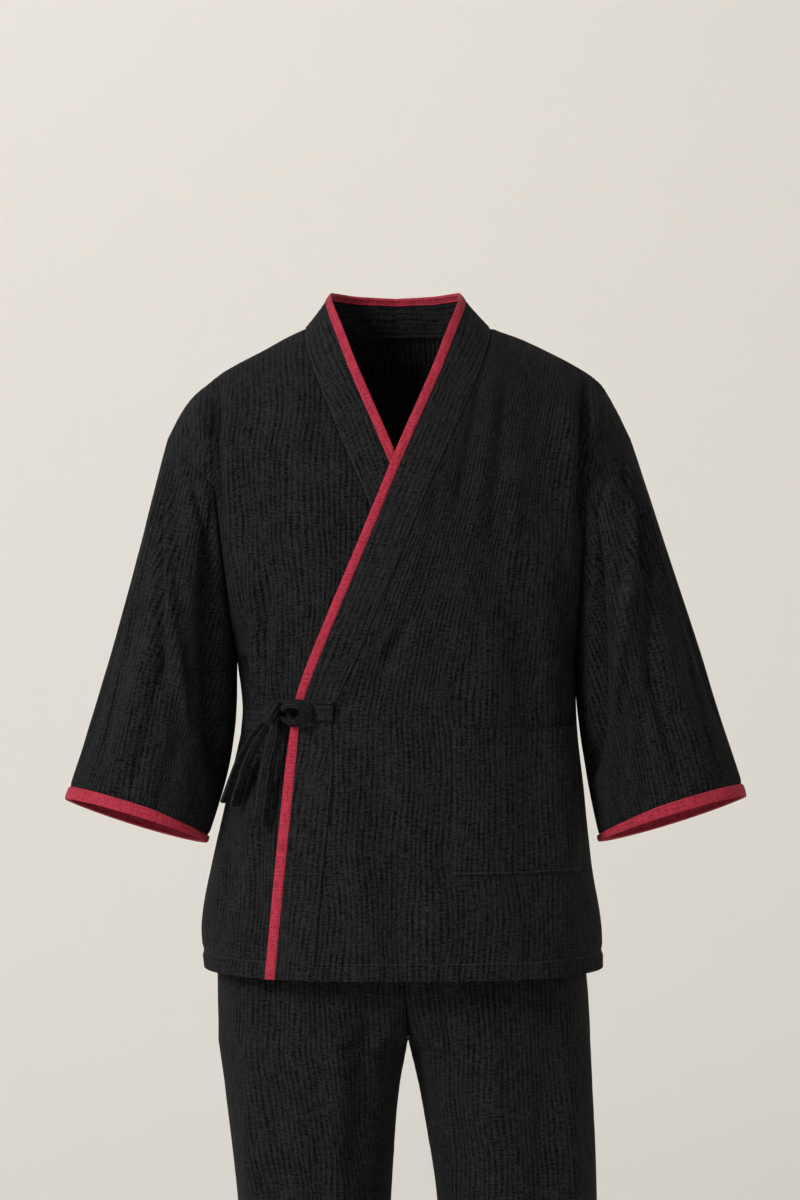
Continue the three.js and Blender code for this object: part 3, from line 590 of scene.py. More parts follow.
def neck_back_points(side, at):
    x = NECK["centre"] + side * look_up(NECK_BACK, "at", at, "out")
    return np.stack([x, look_up(NECK_BACK, "at", at, "y"), look_up(NECK_BACK, "at", at, "z")], axis=-1)


def edge_x(side, z):
    x = look_up(EDGE_BELOW, "z", z, "x")
    return x if side > 0 else 2 * EDGE_CENTRE - x


def seam_x(side, z):
    drawn = BAND["drawn_in"] * np.exp(-(((z - TIE_Z) / BAND["drawn_height"]) ** 2)) if side > 0 else 0
    return edge_x(side, z) + side * (BAND["width"] - drawn)


def overlap_lift(side, x, z):
    """How far the left front lies outside the right one."""
    if side < 0:
        return np.zeros_like(x)
    under_edge = edge_x(-1, np.minimum(z, YOKE_Z))
    across = 1 - smooth((x - under_edge - 12) / 48)
    return OVERLAP_LIFT * across * smooth((-45 - z) / 90)


SKIRT_LEVELS = np.linspace(HEM_Z, UNDERARM_Z, 56)
ARM_LEVELS = YOKE_Z + (UNDERARM_Z - YOKE_Z) * np.cos(np.linspace(0, QUARTER, 34))[1:]
LEVELS = np.concatenate([SKIRT_LEVELS, ARM_LEVELS])
YOKE_SHARES = np.linspace(0, 1, 40)[1:]


FRONT_WIDTH = 340


def front_grid(side, columns):
    shares = sewn_shares(columns, FRONT_WIDTH)
    rows, from_middle = zip(*[level_line(side, "front", z, float(seam_x(side, z)), shares) for z in LEVELS])
    rows, base, top = list(rows), rows[-1], shoulder_points(side, shares)
    for share in YOKE_SHARES:
        row = rising(base, top, share)
        row[:, 0] += side * NECK["bow"] * math.sin(share * math.pi) * (1 - shares) ** 2
        rows.append(row)
    points = np.stack(rows)
    above = [from_middle[-1] + side * (row[:, 0] - base[:, 0]) for row in rows[len(LEVELS):]]
    return points, np.stack([np.stack([*from_middle, *above]), lengths(points, 0)], axis=-1)


def pulled_to_tie(x, z):
    """How far the left front's ridges lean across at a place, because the wrap pulls them to the tie."""
    seam = seam_x(1, np.minimum(z, YOKE_Z)) + np.maximum(0, z - YOKE_Z) * 0.35
    lean = np.maximum(0, 0.8 * (seam - seam_x(1, TIE_Z)))
    lean = np.where(z < TIE_Z, 0, lean)
    return lean * np.exp(-((np.maximum(0, x - seam) / 85) ** 1.3))


def side_depth(z):
    """How deep the seam at the jacket's side lies: full below the arm, and shallow round the armhole."""
    return 0.2 * smooth((ARMHOLE_GROOVE_TOP - z) / 30) + 0.8 * smooth((UNDERARM_Z - z) / 30)


def back_grid(columns):
    """The back, from the wearer's right side to the left one."""
    half = columns // 2
    neck_columns = round(half * 4 / 9)
    shares = np.linspace(0, 1, half + 1)

    def level(z):
        left, left_u = level_line(1, "back", z, 0.0, shares)
        right, right_u = level_line(-1, "back", z, 0.0, shares)
        return np.concatenate([right[::-1], left[1:]]), np.concatenate([-right_u[::-1], left_u[1:]])

    def top_half(side):
        neck = neck_back_points(side, np.linspace(1, 0, neck_columns + 1))
        return np.concatenate([neck[:-1], shoulder_points(side, np.linspace(0, 1, half - neck_columns + 1))])

    rows, from_middle = (list(group) for group in zip(*[level(z) for z in LEVELS]))
    base, base_u = rows[-1], from_middle[-1]
    top = np.concatenate([top_half(-1)[::-1], top_half(1)[1:]])
    for share in YOKE_SHARES:
        rows.append(rising(base, top, share))
        from_middle.append(base_u + rows[-1][:, 0] - base[:, 0])
    points = np.stack(rows)
    return points, np.stack([np.stack(from_middle), lengths(points, 0)], axis=-1)


# ---------------------------------------------------------------- the collar band


BAND_OVER_SHOULDER = 0.7  # of the free edge above the wrap, counted from the wrap


def band_edge(side, at):
    """A place on the free edge above the wrap. The right band mirrors the left one."""
    x, y, z = along_table(EDGE_ABOVE, at)
    return x if side > 0 else 2 * EDGE_CENTRE - x, y, z


def band_rows(side):
    """The band's two long edges, from the hem to the middle of the back of the neck."""
    levels = np.linspace(HEM_Z, YOKE_Z, 150)
    edge, seam = (
        [(a, float(body_y("front", a, z)), z) for a, z in zip(x, levels)]
        for x in (edge_x(side, levels), seam_x(side, levels))
    )
    base, top = np.array(seam[-1]), shoulder_points(side, 0.0)
    for share in np.linspace(0, 1, 70)[1:]:
        edge.append(band_edge(side, share * BAND_OVER_SHOULDER))
        row = rising(base, top, share**1.25)
        seam.append((row[0] + side * NECK["bow"] * math.sin(share**1.25 * math.pi), row[1], row[2]))
    for share in np.linspace(0, 1, 36)[1:]:
        edge.append(band_edge(side, BAND_OVER_SHOULDER + share * 0.3))
        seam.append(tuple(neck_back_points(side, share)))
    return np.array(edge), np.array(seam)


def band_strip(side, near, far, columns):
    """A strip of the band, between two shares of its width from the free edge."""
    edge, seam = band_rows(side)
    shares = np.linspace(near, far, columns)
    points = mix(edge[:, None, :], seam[:, None, :], shares[None, :, None])
    below = points[:, 0, 2] <= YOKE_Z
    for j in np.nonzero(below)[0]:
        points[j, :, 1] = body_y("front", points[j, :, 0], points[j, 0, 2])
    along = np.broadcast_to(lengths(points, 0)[:, -1:], points.shape[:2])
    return points, np.stack([lengths(points, 1), along], axis=-1)


def overlap_of_band(side, points):
    return np.where(points[..., 1] < 0, overlap_lift(side, points[..., 0], points[..., 2]), 0)


# ---------------------------------------------------------------- the sleeves


def armhole_ring(side, turns):
    """Points of the armhole at shares of the way round, from the shoulder down the front and up the back."""
    points = np.empty((len(turns), 3))
    for k, turn in enumerate(turns):
        face = "front" if turn <= 0.5 else "back"
        t = 2 * turn if turn <= 0.5 else 2 - 2 * turn
        if t < YOKE_PART:
            fold = ARMHOLE[face]
            base = np.array([side * fold[0], fold[1], fold[2]], float)
            points[k] = rising(base, shoulder_points(side, 1.0), 1 - t / YOKE_PART)
            continue
        s = 1 - (t - YOKE_PART) / (1 - YOKE_PART)
        z = mix(YOKE_Z, UNDERARM_Z, math.cos(s * QUARTER))
        x, y = armhole_below(side, face, z)
        points[k] = side * x, y, z
    return points


def cuff_ring(side, turns):
    outer, inner = (np.array(CUFF[side_name(side)][key], float) for key in ("outer", "inner"))
    centre, angle = (outer + inner) / 2, turns * 2 * math.pi
    ahead = np.array([0, -1, CUFF["front_rise"]])
    ahead *= CUFF["half_depth"] / np.linalg.norm(ahead)
    points = centre + np.cos(angle)[:, None] * (outer - centre)
    points += signed_power(np.sin(angle), CUFF["lens"])[:, None] * ahead
    points[:, 0] *= side
    return points


def sleeve_ring(side, turns, share):
    shape = SLEEVE[side_name(side)]
    points = mix(armhole_ring(side, turns), cuff_ring(side, turns), share)
    out, ahead = np.cos(turns * 2 * math.pi), np.sin(turns * 2 * math.pi)
    swell = SLEEVE["swell"] * math.sin(share**0.7 * math.pi)
    points[:, 1] -= np.sign(ahead) * swell * ahead**2
    pull = np.where(out > 0, shape["hollow"] * out, shape["fill"] * np.abs(out) ** 1.5)
    points[:, 0] -= side * math.sin(share * math.pi) * pull
    return points


SLEEVE_LENGTH = float(np.linalg.norm(np.array(CUFF["left"]["outer"], float) - shoulder_points(1, 1.0)))
CUFF_SHARE = CUFF_BINDING_WIDTH / SLEEVE_LENGTH  # how much of the sleeve its binding covers

# A sleeve opens out flat along its underarm seam, so its columns start and end there.
SLEEVE_TURNS = np.linspace(0.5, 1.5, 210) % 1.0
SLEEVE_TURNS[-1] = 0.5


def sleeve_grid(side, near, far, rows):
    """Rows go up, from the share of the length nearest the cuff to the one nearest the armhole."""
    shares = np.linspace(near, far, rows)
    points = np.stack([sleeve_ring(side, SLEEVE_TURNS, share) for share in shares])
    across = np.broadcast_to(lengths(points, 1)[rows // 2], points.shape[:2])
    return points, np.stack([across, lengths(points, 0)], axis=-1), shares


# ---------------------------------------------------------------- the trousers

TROUSER_LEVELS = np.concatenate(
    [
        np.linspace(TROUSER_HEM_Z, CROTCH["z"], 58)[:-1],
        CROTCH["top"] + (CROTCH["z"] - CROTCH["top"]) * np.sin(np.linspace(QUARTER, 0, 26)),
        np.linspace(CROTCH["top"], HIPS[0]["z"], 34)[1:],
    ]
)


def trouser_grid(side, face, columns):
    """A quarter of the trousers, from the centre seam and inseam to the side seam."""
    u = np.linspace(0, 1, columns)
    round_share = (1 - np.cos(u * math.pi)) / 2
    name, sign = side_name(side), -1 if face == "front" else 1
    rows = []
    for z in TROUSER_LEVELS:
        hip_z, leg_z = max(z, CROTCH["z"]), min(z, CROTCH["z"])
        leg = {column: float(look_up(LEG[name], "z", leg_z, column)) for column in ("inner", "outer", face)}
        hip = {column: float(look_up(HIPS, "z", hip_z, column)) for column in (name, face)}
        down = min(1, max(0, (CROTCH["top"] - z) / (CROTCH["top"] - CROTCH["z"])))
        leg_x = mix(leg["inner"], leg["outer"], round_share)
        leg_y = leg[face] * np.sin(u * math.pi) ** 0.85
        hip_x = mix(side * CROTCH["x"] * down, hip[name], round_share)
        hip_y = hip[face] * np.sqrt(np.maximum(0, 1 - (hip_x / hip[name]) ** 2)) ** 0.82
        at_seam = 1 - math.sqrt(1 - down * down)
        on_thigh = smooth((CROTCH["top"] - z) / (CROTCH["top"] - CROTCH["thigh"]))
        split = mix(at_seam, on_thigh, smooth(u / 0.4))
        across = mix(hip_x, leg_x, down * down) if z > CROTCH["z"] else leg_x
        rows.append(np.stack([side * across, sign * mix(hip_y, leg_y, split), np.full(columns, z)], axis=-1))
    points = np.stack(rows)
    walked = lengths(points, 1)
    from_side = walked[:, -1:] - walked
    return points, np.stack([from_side, np.broadcast_to(points[..., 2], from_side.shape)], axis=-1)


# ---------------------------------------------------------------- shader groups and materials


def socket(tree, name, kind, way, value=None):
    made = tree.interface.new_socket(name=name, in_out=way, socket_type=kind)
    if value is not None:
        made.default_value = value
    return made


def link(tree, source, target):
    tree.links.new(source, target)


def feed(tree, node, *values):
    """Gives a node's first inputs a number each, or another node's output."""
    for target, given in zip(node.inputs, values):
        if isinstance(given, (int, float)):
            target.default_value = given
        else:
            link(tree, given, target)


def value_node(tree, operation, a, b, clamp=False):
    node = tree.nodes.new("ShaderNodeMath")
    node.operation, node.use_clamp = operation, clamp
    feed(tree, node, a, b)
    return node.outputs[0]


def streaks(tree, vector, width, length, detail):
    """Noise drawn out along the cloth: one value for each width across and length along."""
    sizes = tree.nodes.new("ShaderNodeCombineXYZ")
    feed(tree, sizes, width, length, 1.0)
    divide = tree.nodes.new("ShaderNodeVectorMath")
    divide.operation = "DIVIDE"
    link(tree, vector, divide.inputs[0])
    link(tree, sizes.outputs[0], divide.inputs[1])
    texture = tree.nodes.new("ShaderNodeTexNoise")
    texture.noise_dimensions = "2D"
    texture.inputs["Scale"].default_value = 1.0
    texture.inputs["Detail"].default_value = detail
    link(tree, divide.outputs[0], texture.inputs["Vector"])
    return texture.outputs["Fac"]


def crinkled_gauze_group():
    """Crinkled double gauze: its relief, and a colour share with painted shade in its hollows."""
    tree = bpy.data.node_groups.new("Crinkled gauze", "ShaderNodeTree")
    socket(tree, "Place", "NodeSocketVector", "INPUT")
    socket(tree, "Ridge Spacing", "NodeSocketFloat", "INPUT", RIDGE_SPACING * MM)
    socket(tree, "Ridge Depth", "NodeSocketFloat", "INPUT", 0.5)
    socket(tree, "Rib Spacing", "NodeSocketFloat", "INPUT", 0.0026)
    socket(tree, "Thread Spacing", "NodeSocketFloat", "INPUT", 0.0011)
    socket(tree, "Height", "NodeSocketFloat", "OUTPUT")
    socket(tree, "Painted Shade", "NodeSocketFloat", "OUTPUT")
    given, result = tree.nodes.new("NodeGroupInput"), tree.nodes.new("NodeGroupOutput")
    place, rib, thread = (given.outputs[name] for name in ("Place", "Rib Spacing", "Thread Spacing"))
    parts = tree.nodes.new("ShaderNodeSeparateXYZ")
    link(tree, place, parts.inputs[0])

    def times(a, b):
        return value_node(tree, "MULTIPLY", a, b)

    def plus(a, b):
        return value_node(tree, "ADD", a, b)

    def drift(across, along, share, detail=1.0):
        """Noise around nothing, by the share that it counts for."""
        noisy = streaks(tree, place, across, along, detail)
        return times(value_node(tree, "SUBTRACT", noisy, 0.5), share)

    def waves(along, spacing):
        """Even lines, from 0 to 1 at each line's middle."""
        turn = times(value_node(tree, "DIVIDE", along, spacing), 2 * math.pi)
        return plus(times(value_node(tree, "COSINE", turn, 0.0), 0.5), 0.5)

    def patchy(across, along):
        return plus(drift(across, along, 1.5), 0.8)

    valleys = value_node(tree, "POWER", waves(parts.outputs[0], given.outputs["Ridge Spacing"]), 1.6)
    sunk = times(times(valleys, patchy(0.012, 0.03)), given.outputs["Ridge Depth"])
    wavering = plus(parts.outputs[1], plus(drift(0.011, 0.02, 0.012), drift(0.0055, 0.009, 0.004)))
    puckers = times(times(waves(wavering, rib), patchy(0.014, 0.009)), 0.34)
    lines_along = drift(0.0019, 0.014, 0.95)
    lines_across = drift(0.011, 0.0018, 0.95)
    threads = plus(drift(thread, 0.02, 0.15), drift(0.02, thread, 0.15))
    weave = plus(plus(lines_along, lines_across), plus(drift(0.0021, 0.0021, 1.1), threads))
    lit = value_node(tree, "SUBTRACT", plus(weave, 0.88), puckers)
    height = value_node(tree, "SUBTRACT", lit, sunk)
    # Colour share: painted shade in valleys and puckers, painted light on ridges, plus the weave's own tone.
    spread = value_node(tree, "ADD", height, drift(0.04, 0.07, 0.35, 2.0), clamp=True)
    link(tree, height, result.inputs["Height"])
    link(tree, spread, result.inputs["Painted Shade"])
    return tree


def new_material(name, low, high, share, roughness):
    """A material that goes from one colour to another by a share, which a function makes in its tree."""
    material = bpy.data.materials.new(name)
    material.use_nodes = True
    tree = material.node_tree
    shader = tree.nodes["Principled BSDF"]
    colour = tree.nodes.new("ShaderNodeMix")
    colour.data_type = "RGBA"
    colour.inputs["A"].default_value = (*low, 1)
    colour.inputs["B"].default_value = (*high, 1)
    link(tree, share(tree), colour.inputs["Factor"])
    link(tree, colour.outputs["Result"], shader.inputs["Base Color"])
    shader.inputs["Roughness"].default_value = roughness
    return material, tree, shader


def cloth_material(name, low, high, sizes, relief, roughness, sheen):
    """A woven cloth with painted shade, darker in its hollows, and its relief from the group."""

    # Painted light and shade: the group's share from the hollows' colour to the ridges'.
    def painted_shade(tree):
        place = tree.nodes.new("ShaderNodeUVMap")
        place.uv_map = "Cloth"
        gauze = tree.nodes.new("ShaderNodeGroup")
        gauze.node_tree = GAUZE_GROUP
        gauze.name = "Gauze"
        for socket_name, size in sizes.items():
            gauze.inputs[socket_name].default_value = size
        link(tree, place.outputs["UV"], gauze.inputs["Place"])
        return gauze.outputs["Painted Shade"]

    material, tree, shader = new_material(name, low, high, painted_shade, roughness)
    bumps = tree.nodes.new("ShaderNodeBump")
    bumps.inputs["Strength"].default_value = relief["strength"]
    bumps.inputs["Distance"].default_value = relief["height"]
    link(tree, tree.nodes["Gauze"].outputs["Height"], bumps.inputs["Height"])
    link(tree, bumps.outputs["Normal"], shader.inputs["Normal"])
    shader.inputs["Sheen Weight"].default_value = sheen
    shader.inputs["Sheen Roughness"].default_value = 0.45
    shader.inputs["Specular IOR Level"].default_value = 0.08
    return material


def thread_material(name, colour):
    """A twisted thread, with painted shade: a little darker in small random spots, for its hollows."""

    def painted_thread_shade(tree):
        place = tree.nodes.new("ShaderNodeTexCoord")
        noisy = tree.nodes.new("ShaderNodeTexNoise")
        noisy.inputs["Scale"].default_value = 900
        link(tree, place.outputs["Object"], noisy.inputs["Vector"])
        return noisy.outputs["Fac"]

    return new_material(name, [0.6 * c for c in colour], colour, painted_thread_shade, 0.7)[0]


GAUZE_GROUP = crinkled_gauze_group()
# Colours from hollow (low) to ridge (high): painted shade and light, and the weave's own tone.
BLACK = {"low": (0.0008, 0.0008, 0.0010), "high": (0.0165, 0.0165, 0.0181)}
CRIMSON = {"low": (0.150, 0.0070, 0.0180), "high": (0.350, 0.028, 0.050)}
GAUZE = cloth_material(
    "Black gauze",
    **BLACK,
    sizes={"Ridge Depth": 0.6, "Rib Spacing": 0.0041, "Thread Spacing": 0.0011},
    relief={"strength": 1.0, "height": 0.0013},
    roughness=0.92,
    sheen=0.01,
)
PRESSED_GAUZE = cloth_material(
    "Pressed black gauze",
    **BLACK,
    sizes={"Ridge Depth": 0.5, "Rib Spacing": 0.0034, "Thread Spacing": 0.0011},
    relief={"strength": 0.8, "height": 0.0009},
    roughness=0.92,
    sheen=0.01,
)
EDGING = cloth_material(
    "Crimson cotton",
    **CRIMSON,
    sizes={"Ridge Depth": 0.12, "Rib Spacing": 0.004, "Thread Spacing": 0.0009},
    relief={"strength": 0.6, "height": 0.0008},
    roughness=0.8,
    sheen=0.05,
)
BLACK_THREAD = thread_material("Black thread", (0.030, 0.030, 0.033))
RED_THREAD = thread_material("Crimson thread", (0.26, 0.010, 0.026))

# ---------------------------------------------------------------- the pieces

# Each kind of piece: its cloth and that cloth's slot, its thickness, and how it is held.
KINDS = {
    "panel": {"material": GAUZE, "slot": "gauze", "wall": CLOTH, "held": "draped"},
    "patch": {"material": GAUZE, "slot": "gauze", "wall": POCKET["wall"], "held": "laid"},
    "casing": {"material": GAUZE, "slot": "gauze", "wall": WAISTBAND["wall"], "held": "gathered"},
    "band": {"material": PRESSED_GAUZE, "slot": "gauze", "wall": BAND_WALL, "held": "folded"},
    "strap": {"material": PRESSED_GAUZE, "slot": "gauze", "wall": STRAP_WALL, "held": "laid"},
    "tied strap": {"material": PRESSED_GAUZE, "slot": "gauze", "wall": STRAP_WALL, "held": "folded"},
    "binding": {"material": EDGING, "slot": "edging", "wall": BINDING_WALL, "held": "folded"},
}
SHEETS = []
STITCH_LINES = {"black": [], "red": []}


def woven(uv, seed, lean=0.0):
    """The cloth's own coordinates: across its ridges, and along them."""
    return np.stack([grain(uv[..., 0] - lean, uv[..., 1], seed), uv[..., 1]], axis=-1)


def make_piece(kind, name, node, base, moved, pattern, outward, cloth=None):
    """Moves a surface out by its relief and gives it the wall of its kind. What comes back is its outside.

    The pattern is the piece lying flat, so its width and length are the cut's. The cloth is the same with
    the weave's drift in it, where the piece has any.
    """
    kind = KINDS[kind]
    outer = base + normals(base, outward) * moved[..., None]
    uv = pattern if cloth is None else cloth
    piece = cloth_wall(name, outer, uv, kind["wall"], outward, kind["material"])
    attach(piece, "root")
    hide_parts(node)
    width, length = ((pattern[..., k].max() - pattern[..., k].min()) * MM for k in (0, 1))
    area = sum(polygon.area for polygon in piece.data.polygons) / 2
    SHEETS.append((piece.name, width, length, area))
    return outer


def line_at(grid, distance, edge):
    """The line that runs along a grid, at a distance in from one of its edges."""
    if edge in ("bottom", "top"):
        grid = grid.transpose(1, 0, 2)
    walked, order = lengths(grid, 1), slice(None)
    if edge in ("end", "top"):
        walked, order = walked[:, -1:] - walked, slice(None, None, -1)
    return np.stack(
        [
            [np.interp(distance, walked[j, order], grid[j, order, axis]) for axis in range(3)]
            for j in range(grid.shape[0])
        ]
    )


def stitch(colour, outer, outward, distance, edge, lift=STITCH_LIFT):
    """Keeps a line of topstitching that lies on the cloth."""
    line, out = (line_at(grid, distance, edge) for grid in (outer, normals(outer, outward)))
    STITCH_LINES[colour].append(line + out * lift)


def rounded(share):
    """How round a binding stands across its width: 0 at its edges and 1 in the middle."""
    return np.sqrt(np.maximum(0, 1 - (2 * share - 1) ** 2))


def make_front(side, rows, columns, seed):
    name = side_name(side)
    base, pattern = front_grid(side, columns)
    x, z = base[..., 0], base[..., 2]
    cloth = woven(pattern, seed, pulled_to_tie(x, z) if side > 0 else 0.0)
    moved = (folds(rows, x, z) + crinkle(cloth, seed)) * seam_fade(base, ["start", "end", "top"])
    moved += overlap_lift(side, x, z)
    moved += sewn(base, {"start": 1.0, "end": side_depth(z)}, {"bottom": HEM_DEPTH})
    outer = make_piece("panel", "front_" + name, "jacket_front_" + name, base, moved, pattern, side, cloth)
    stitch("black", outer, side, HEM_DEPTH, "bottom")


def make_back(columns):
    base, pattern = back_grid(columns)
    x, z = base[..., 0], base[..., 2]
    cloth = woven(pattern, SEEDS["back"])
    moved = LOOSE * folds(BACK_FOLDS, x, z) + crinkle(cloth, SEEDS["back"])
    moved = moved * seam_fade(base, ["start", "end", "top"])
    moved += sewn(base, {"start": side_depth(z), "end": side_depth(z)}, {"bottom": HEM_DEPTH})
    outer = make_piece("panel", "back", "jacket_back", base, moved, pattern, -1, cloth)
    stitch("black", outer, -1, HEM_DEPTH, "bottom")


BINDING_SHARE = BINDING_WIDTH / BAND["width"]


def make_collar_band(side):
    name = side_name(side)
    base, pattern = band_strip(side, BINDING_SHARE, 1.0, columns=22)
    seed = SEEDS["band"] + side
    cloth = woven(pattern, seed)
    moved = crinkle(cloth, seed) * PRESSED["band"] * seam_fade(base, ["start", "end"], 4)
    on_front = smooth(-base[..., 1] / 40)
    moved += overlap_of_band(side, base) + sewn(base, {"start": 0.5 * on_front, "end": 0.2 * on_front})
    moved += 0.9 * smooth(edge_distances(base)["end"] / 3)
    outer = make_piece("band", "collar_" + name, "collar_band_" + name, base, moved, pattern, side, cloth)
    stitch("black", outer, side, BAND_STITCH, "end")


def make_collar_binding(side):
    name = side_name(side)
    base, pattern = band_strip(side, 0.0, BINDING_SHARE, columns=9)
    across, u, v = lengths(base, 1), pattern[..., 0], pattern[..., 1]
    roundness = rounded(across / across[:, -1:])
    pucker = 0.3 * noise(v / 6.5, u / 9, 3) + 0.25 * noise(v / 17, 0 * u, 4)
    moved = overlap_of_band(side, base) + 0.5 + 1.1 * roundness + pucker * roundness
    node = "collar_binding_" + name
    outer = make_piece("binding", "collar_edging_" + name, node, base, moved, pattern, side)
    stitch("red", outer, side, BINDING_STITCH, "end", BINDING_STITCH_LIFT)


def make_sleeve(side, table_of_folds):
    name, outward = side_name(side), -side
    base, pattern, shares = sleeve_grid(side, 1 - CUFF_SHARE, 0.0, rows=92)
    turns = np.broadcast_to(SLEEVE_TURNS, base.shape[:2])
    down = np.broadcast_to(shares[:, None], base.shape[:2])
    girth = float(lengths(base, 1)[len(shares) // 2, -1])
    seed = SEEDS["sleeve"] + side
    cloth = woven(pattern, seed)
    moved = LOOSE * folds(table_of_folds, turns, down, (girth, SLEEVE_LENGTH)) + crinkle(cloth, seed)
    moved = moved * seam_fade(base, ["start", "end", "top", "bottom"]) * seam_fade(base, ["top"], SLEEVE_HEAD)
    moved += sewn(base, {"start": 1.0, "end": 1.0, "top": 0.15, "bottom": 0.6})
    make_piece("panel", "sleeve_cloth_" + name, "sleeve_" + name, base, moved, pattern, outward, cloth)


def make_cuff_binding(side):
    name, outward = side_name(side), -side
    base, pattern, _ = sleeve_grid(side, 1.0, 1 - CUFF_SHARE, rows=9)
    up = lengths(base, 0)
    roundness = rounded(up / up[-1:, :])
    pucker = 0.35 * noise(pattern[..., 0] / 7, pattern[..., 1] / 10, 6 + side)
    moved = (0.9 + pucker) * roundness + 0.4
    node = "cuff_binding_" + name
    outer = make_piece("binding", "cuff_edging_" + name, node, base, moved, pattern, outward)
    stitch("red", outer, outward, BINDING_STITCH, "top", BINDING_STITCH_LIFT)


def make_trouser_panel(side, face, rows):
    outward = side if face == "front" else -side
    base, pattern = trouser_grid(side, face, columns=112)
    seed = SEEDS["trousers"] + side
    cloth = woven(pattern, seed)
    moved = LOOSE * folds(rows, base[..., 0], base[..., 2]) + crinkle(cloth, seed)
    moved = moved * seam_fade(base, ["start", "end"])
    above = smooth((base[..., 2] - CROTCH["top"]) / 40)
    moved += sewn(base, {"start": 0.6 * above, "end": 1.0}, {"bottom": TROUSER_HEM_DEPTH})
    name = f"{face}_{side_name(side)}"
    outer = make_piece("panel", "trousers_" + name, "trouser_" + name, base, moved, pattern, outward, cloth)
    stitch("black", outer, outward, TROUSER_HEM_DEPTH, "bottom")


def make_waistband():
    """A casing drawn in by its elastic, joined at the back."""
    angle = np.linspace(0, 2 * math.pi, 500) + math.pi
    heights = np.linspace(0.4, WAISTBAND["height"], 12)
    shares = (heights / WAISTBAND["height"])[:, None]
    ripple = WAISTBAND["depth"] * np.cos(WAISTBAND["gathers"] * angle + 0.6 * np.sin(3 * angle))
    ripple = ripple[None, :] * (1 - 0.35 * np.sin(shares * math.pi)) + 0.5
    waist, power = HIPS[0], 0.82
    x = (waist["left"] + ripple) * signed_power(np.sin(angle), power)
    depth = np.where(np.cos(angle) > 0, waist["front"], waist["back"])
    y = -(depth + ripple) * signed_power(np.cos(angle), power)
    z = np.broadcast_to(waist["z"] + heights[:, None], x.shape)
    base = np.stack([x, y, z], axis=-1)
    pattern = np.stack([lengths(base, 1), lengths(base, 0)], axis=-1)
    outer = make_piece("casing", "waistband_casing", "waistband", base, np.zeros(x.shape), pattern, 1)
    for height in WAIST_STITCHES:
        stitch("black", outer, 1, height, "bottom")


def make_pocket():
    """The patch pocket, shaped over the left front, with a turned hem along its mouth."""
    want = sewn_shares(70, POCKET["width"]) * POCKET["width"]
    grid = []
    for z in POCKET["bottom"] + POCKET["height"] * sewn_shares(76, POCKET["height"]):
        line, _ = level_line(1, "front", z, POCKET["x"], np.linspace(0, 1, 300))
        walked = lengths(line[None], 1)[0]
        grid.append(np.stack([np.interp(want, walked, line[:, axis]) for axis in range(3)], axis=-1))
    base = np.stack(grid)
    pattern = np.stack([lengths(base, 1), lengths(base, 0)], axis=-1)
    cloth = woven(pattern, SEEDS["pocket"])
    x, z = base[..., 0], base[..., 2]
    sides = {"start": 0.9, "end": 0.9, "bottom": 0.9}
    moved = folds(FRONT_LEFT_FOLDS, x, z) + overlap_lift(1, x, z)
    moved += crinkle(cloth, SEEDS["pocket"]) * seam_fade(base, sides, 4) * PRESSED["pocket"]
    moved += sewn(base, sides, {"top": POCKET_HEM_DEPTH}) + POCKET["lift"] + POCKET["wall"]
    outer = make_piece("patch", "pocket_patch", "pocket", base, moved, pattern, 1, cloth)
    for edge in sides:
        stitch("black", outer, 1, POCKET_STITCH, edge)
    stitch("black", outer, 1, POCKET_HEM_DEPTH, "top")


def knot_centre():
    y = float(body_y("front", KNOT["x"], KNOT["z"])) - KNOT["out"]
    return np.array([KNOT["x"], y, KNOT["z"]], float)


def smooth_path(points, count):
    """A smooth curve through a few places, as evenly spaced points."""
    points = np.array(points, float)
    rows = [
        dict(zip(["at", *range(points.shape[1])], [k, *point])) for k, point in enumerate(points)
    ]
    at = np.linspace(0, len(points) - 1, count)
    return np.stack([look_up(rows, "at", at, axis) for axis in range(points.shape[1])], axis=-1)


def strap_wall(kind, name, node, base, pattern, moved, outward):
    """A turned, pressed strap: its long edges are rounded and its cloth is a little crinkled."""
    share = pattern[..., 0] / pattern[..., 0].max() * 2 - 1
    rim = np.sqrt(np.maximum(0, 1 - share**4))
    weave = PRESSED["strap"] * crinkle(pattern * [1.6, 1], SEEDS["strap"])
    moved = moved + STRAP_RIM * rim - STRAP_RIM + weave
    make_piece(kind, name, node, base, moved, pattern, outward)


def strap_pattern(base, share):
    """How a tied strap lies flat: a share of its width across, and its middle's length along."""
    along = lengths(base, 0)[:, [base.shape[1] // 2]]
    return np.stack([np.broadcast_to(of, base.shape[:2]) for of in (share * STRAP_WIDTH, along)], axis=-1)


def ribbon(name, node, places, relief, columns=21, rows=80):
    """A free end along a few places: each has its centre, the way of its width, and the width."""
    path = smooth_path([[*at, *across, wide] for at, across, wide in places], rows)
    centre, across, wide = path[:, :3], path[:, 3:6], path[:, 6]
    across /= np.linalg.norm(across, axis=1, keepdims=True)
    share = np.linspace(-0.5, 0.5, columns)
    base = centre[:, None, :] + across[:, None, :] * (wide[:, None] * share[None, :])[..., None]
    moved = relief(share[None, :], np.linspace(1, 0, rows)[:, None])
    strap_wall("tied strap", name, node, base, strap_pattern(base, share + 0.5), moved, 1)


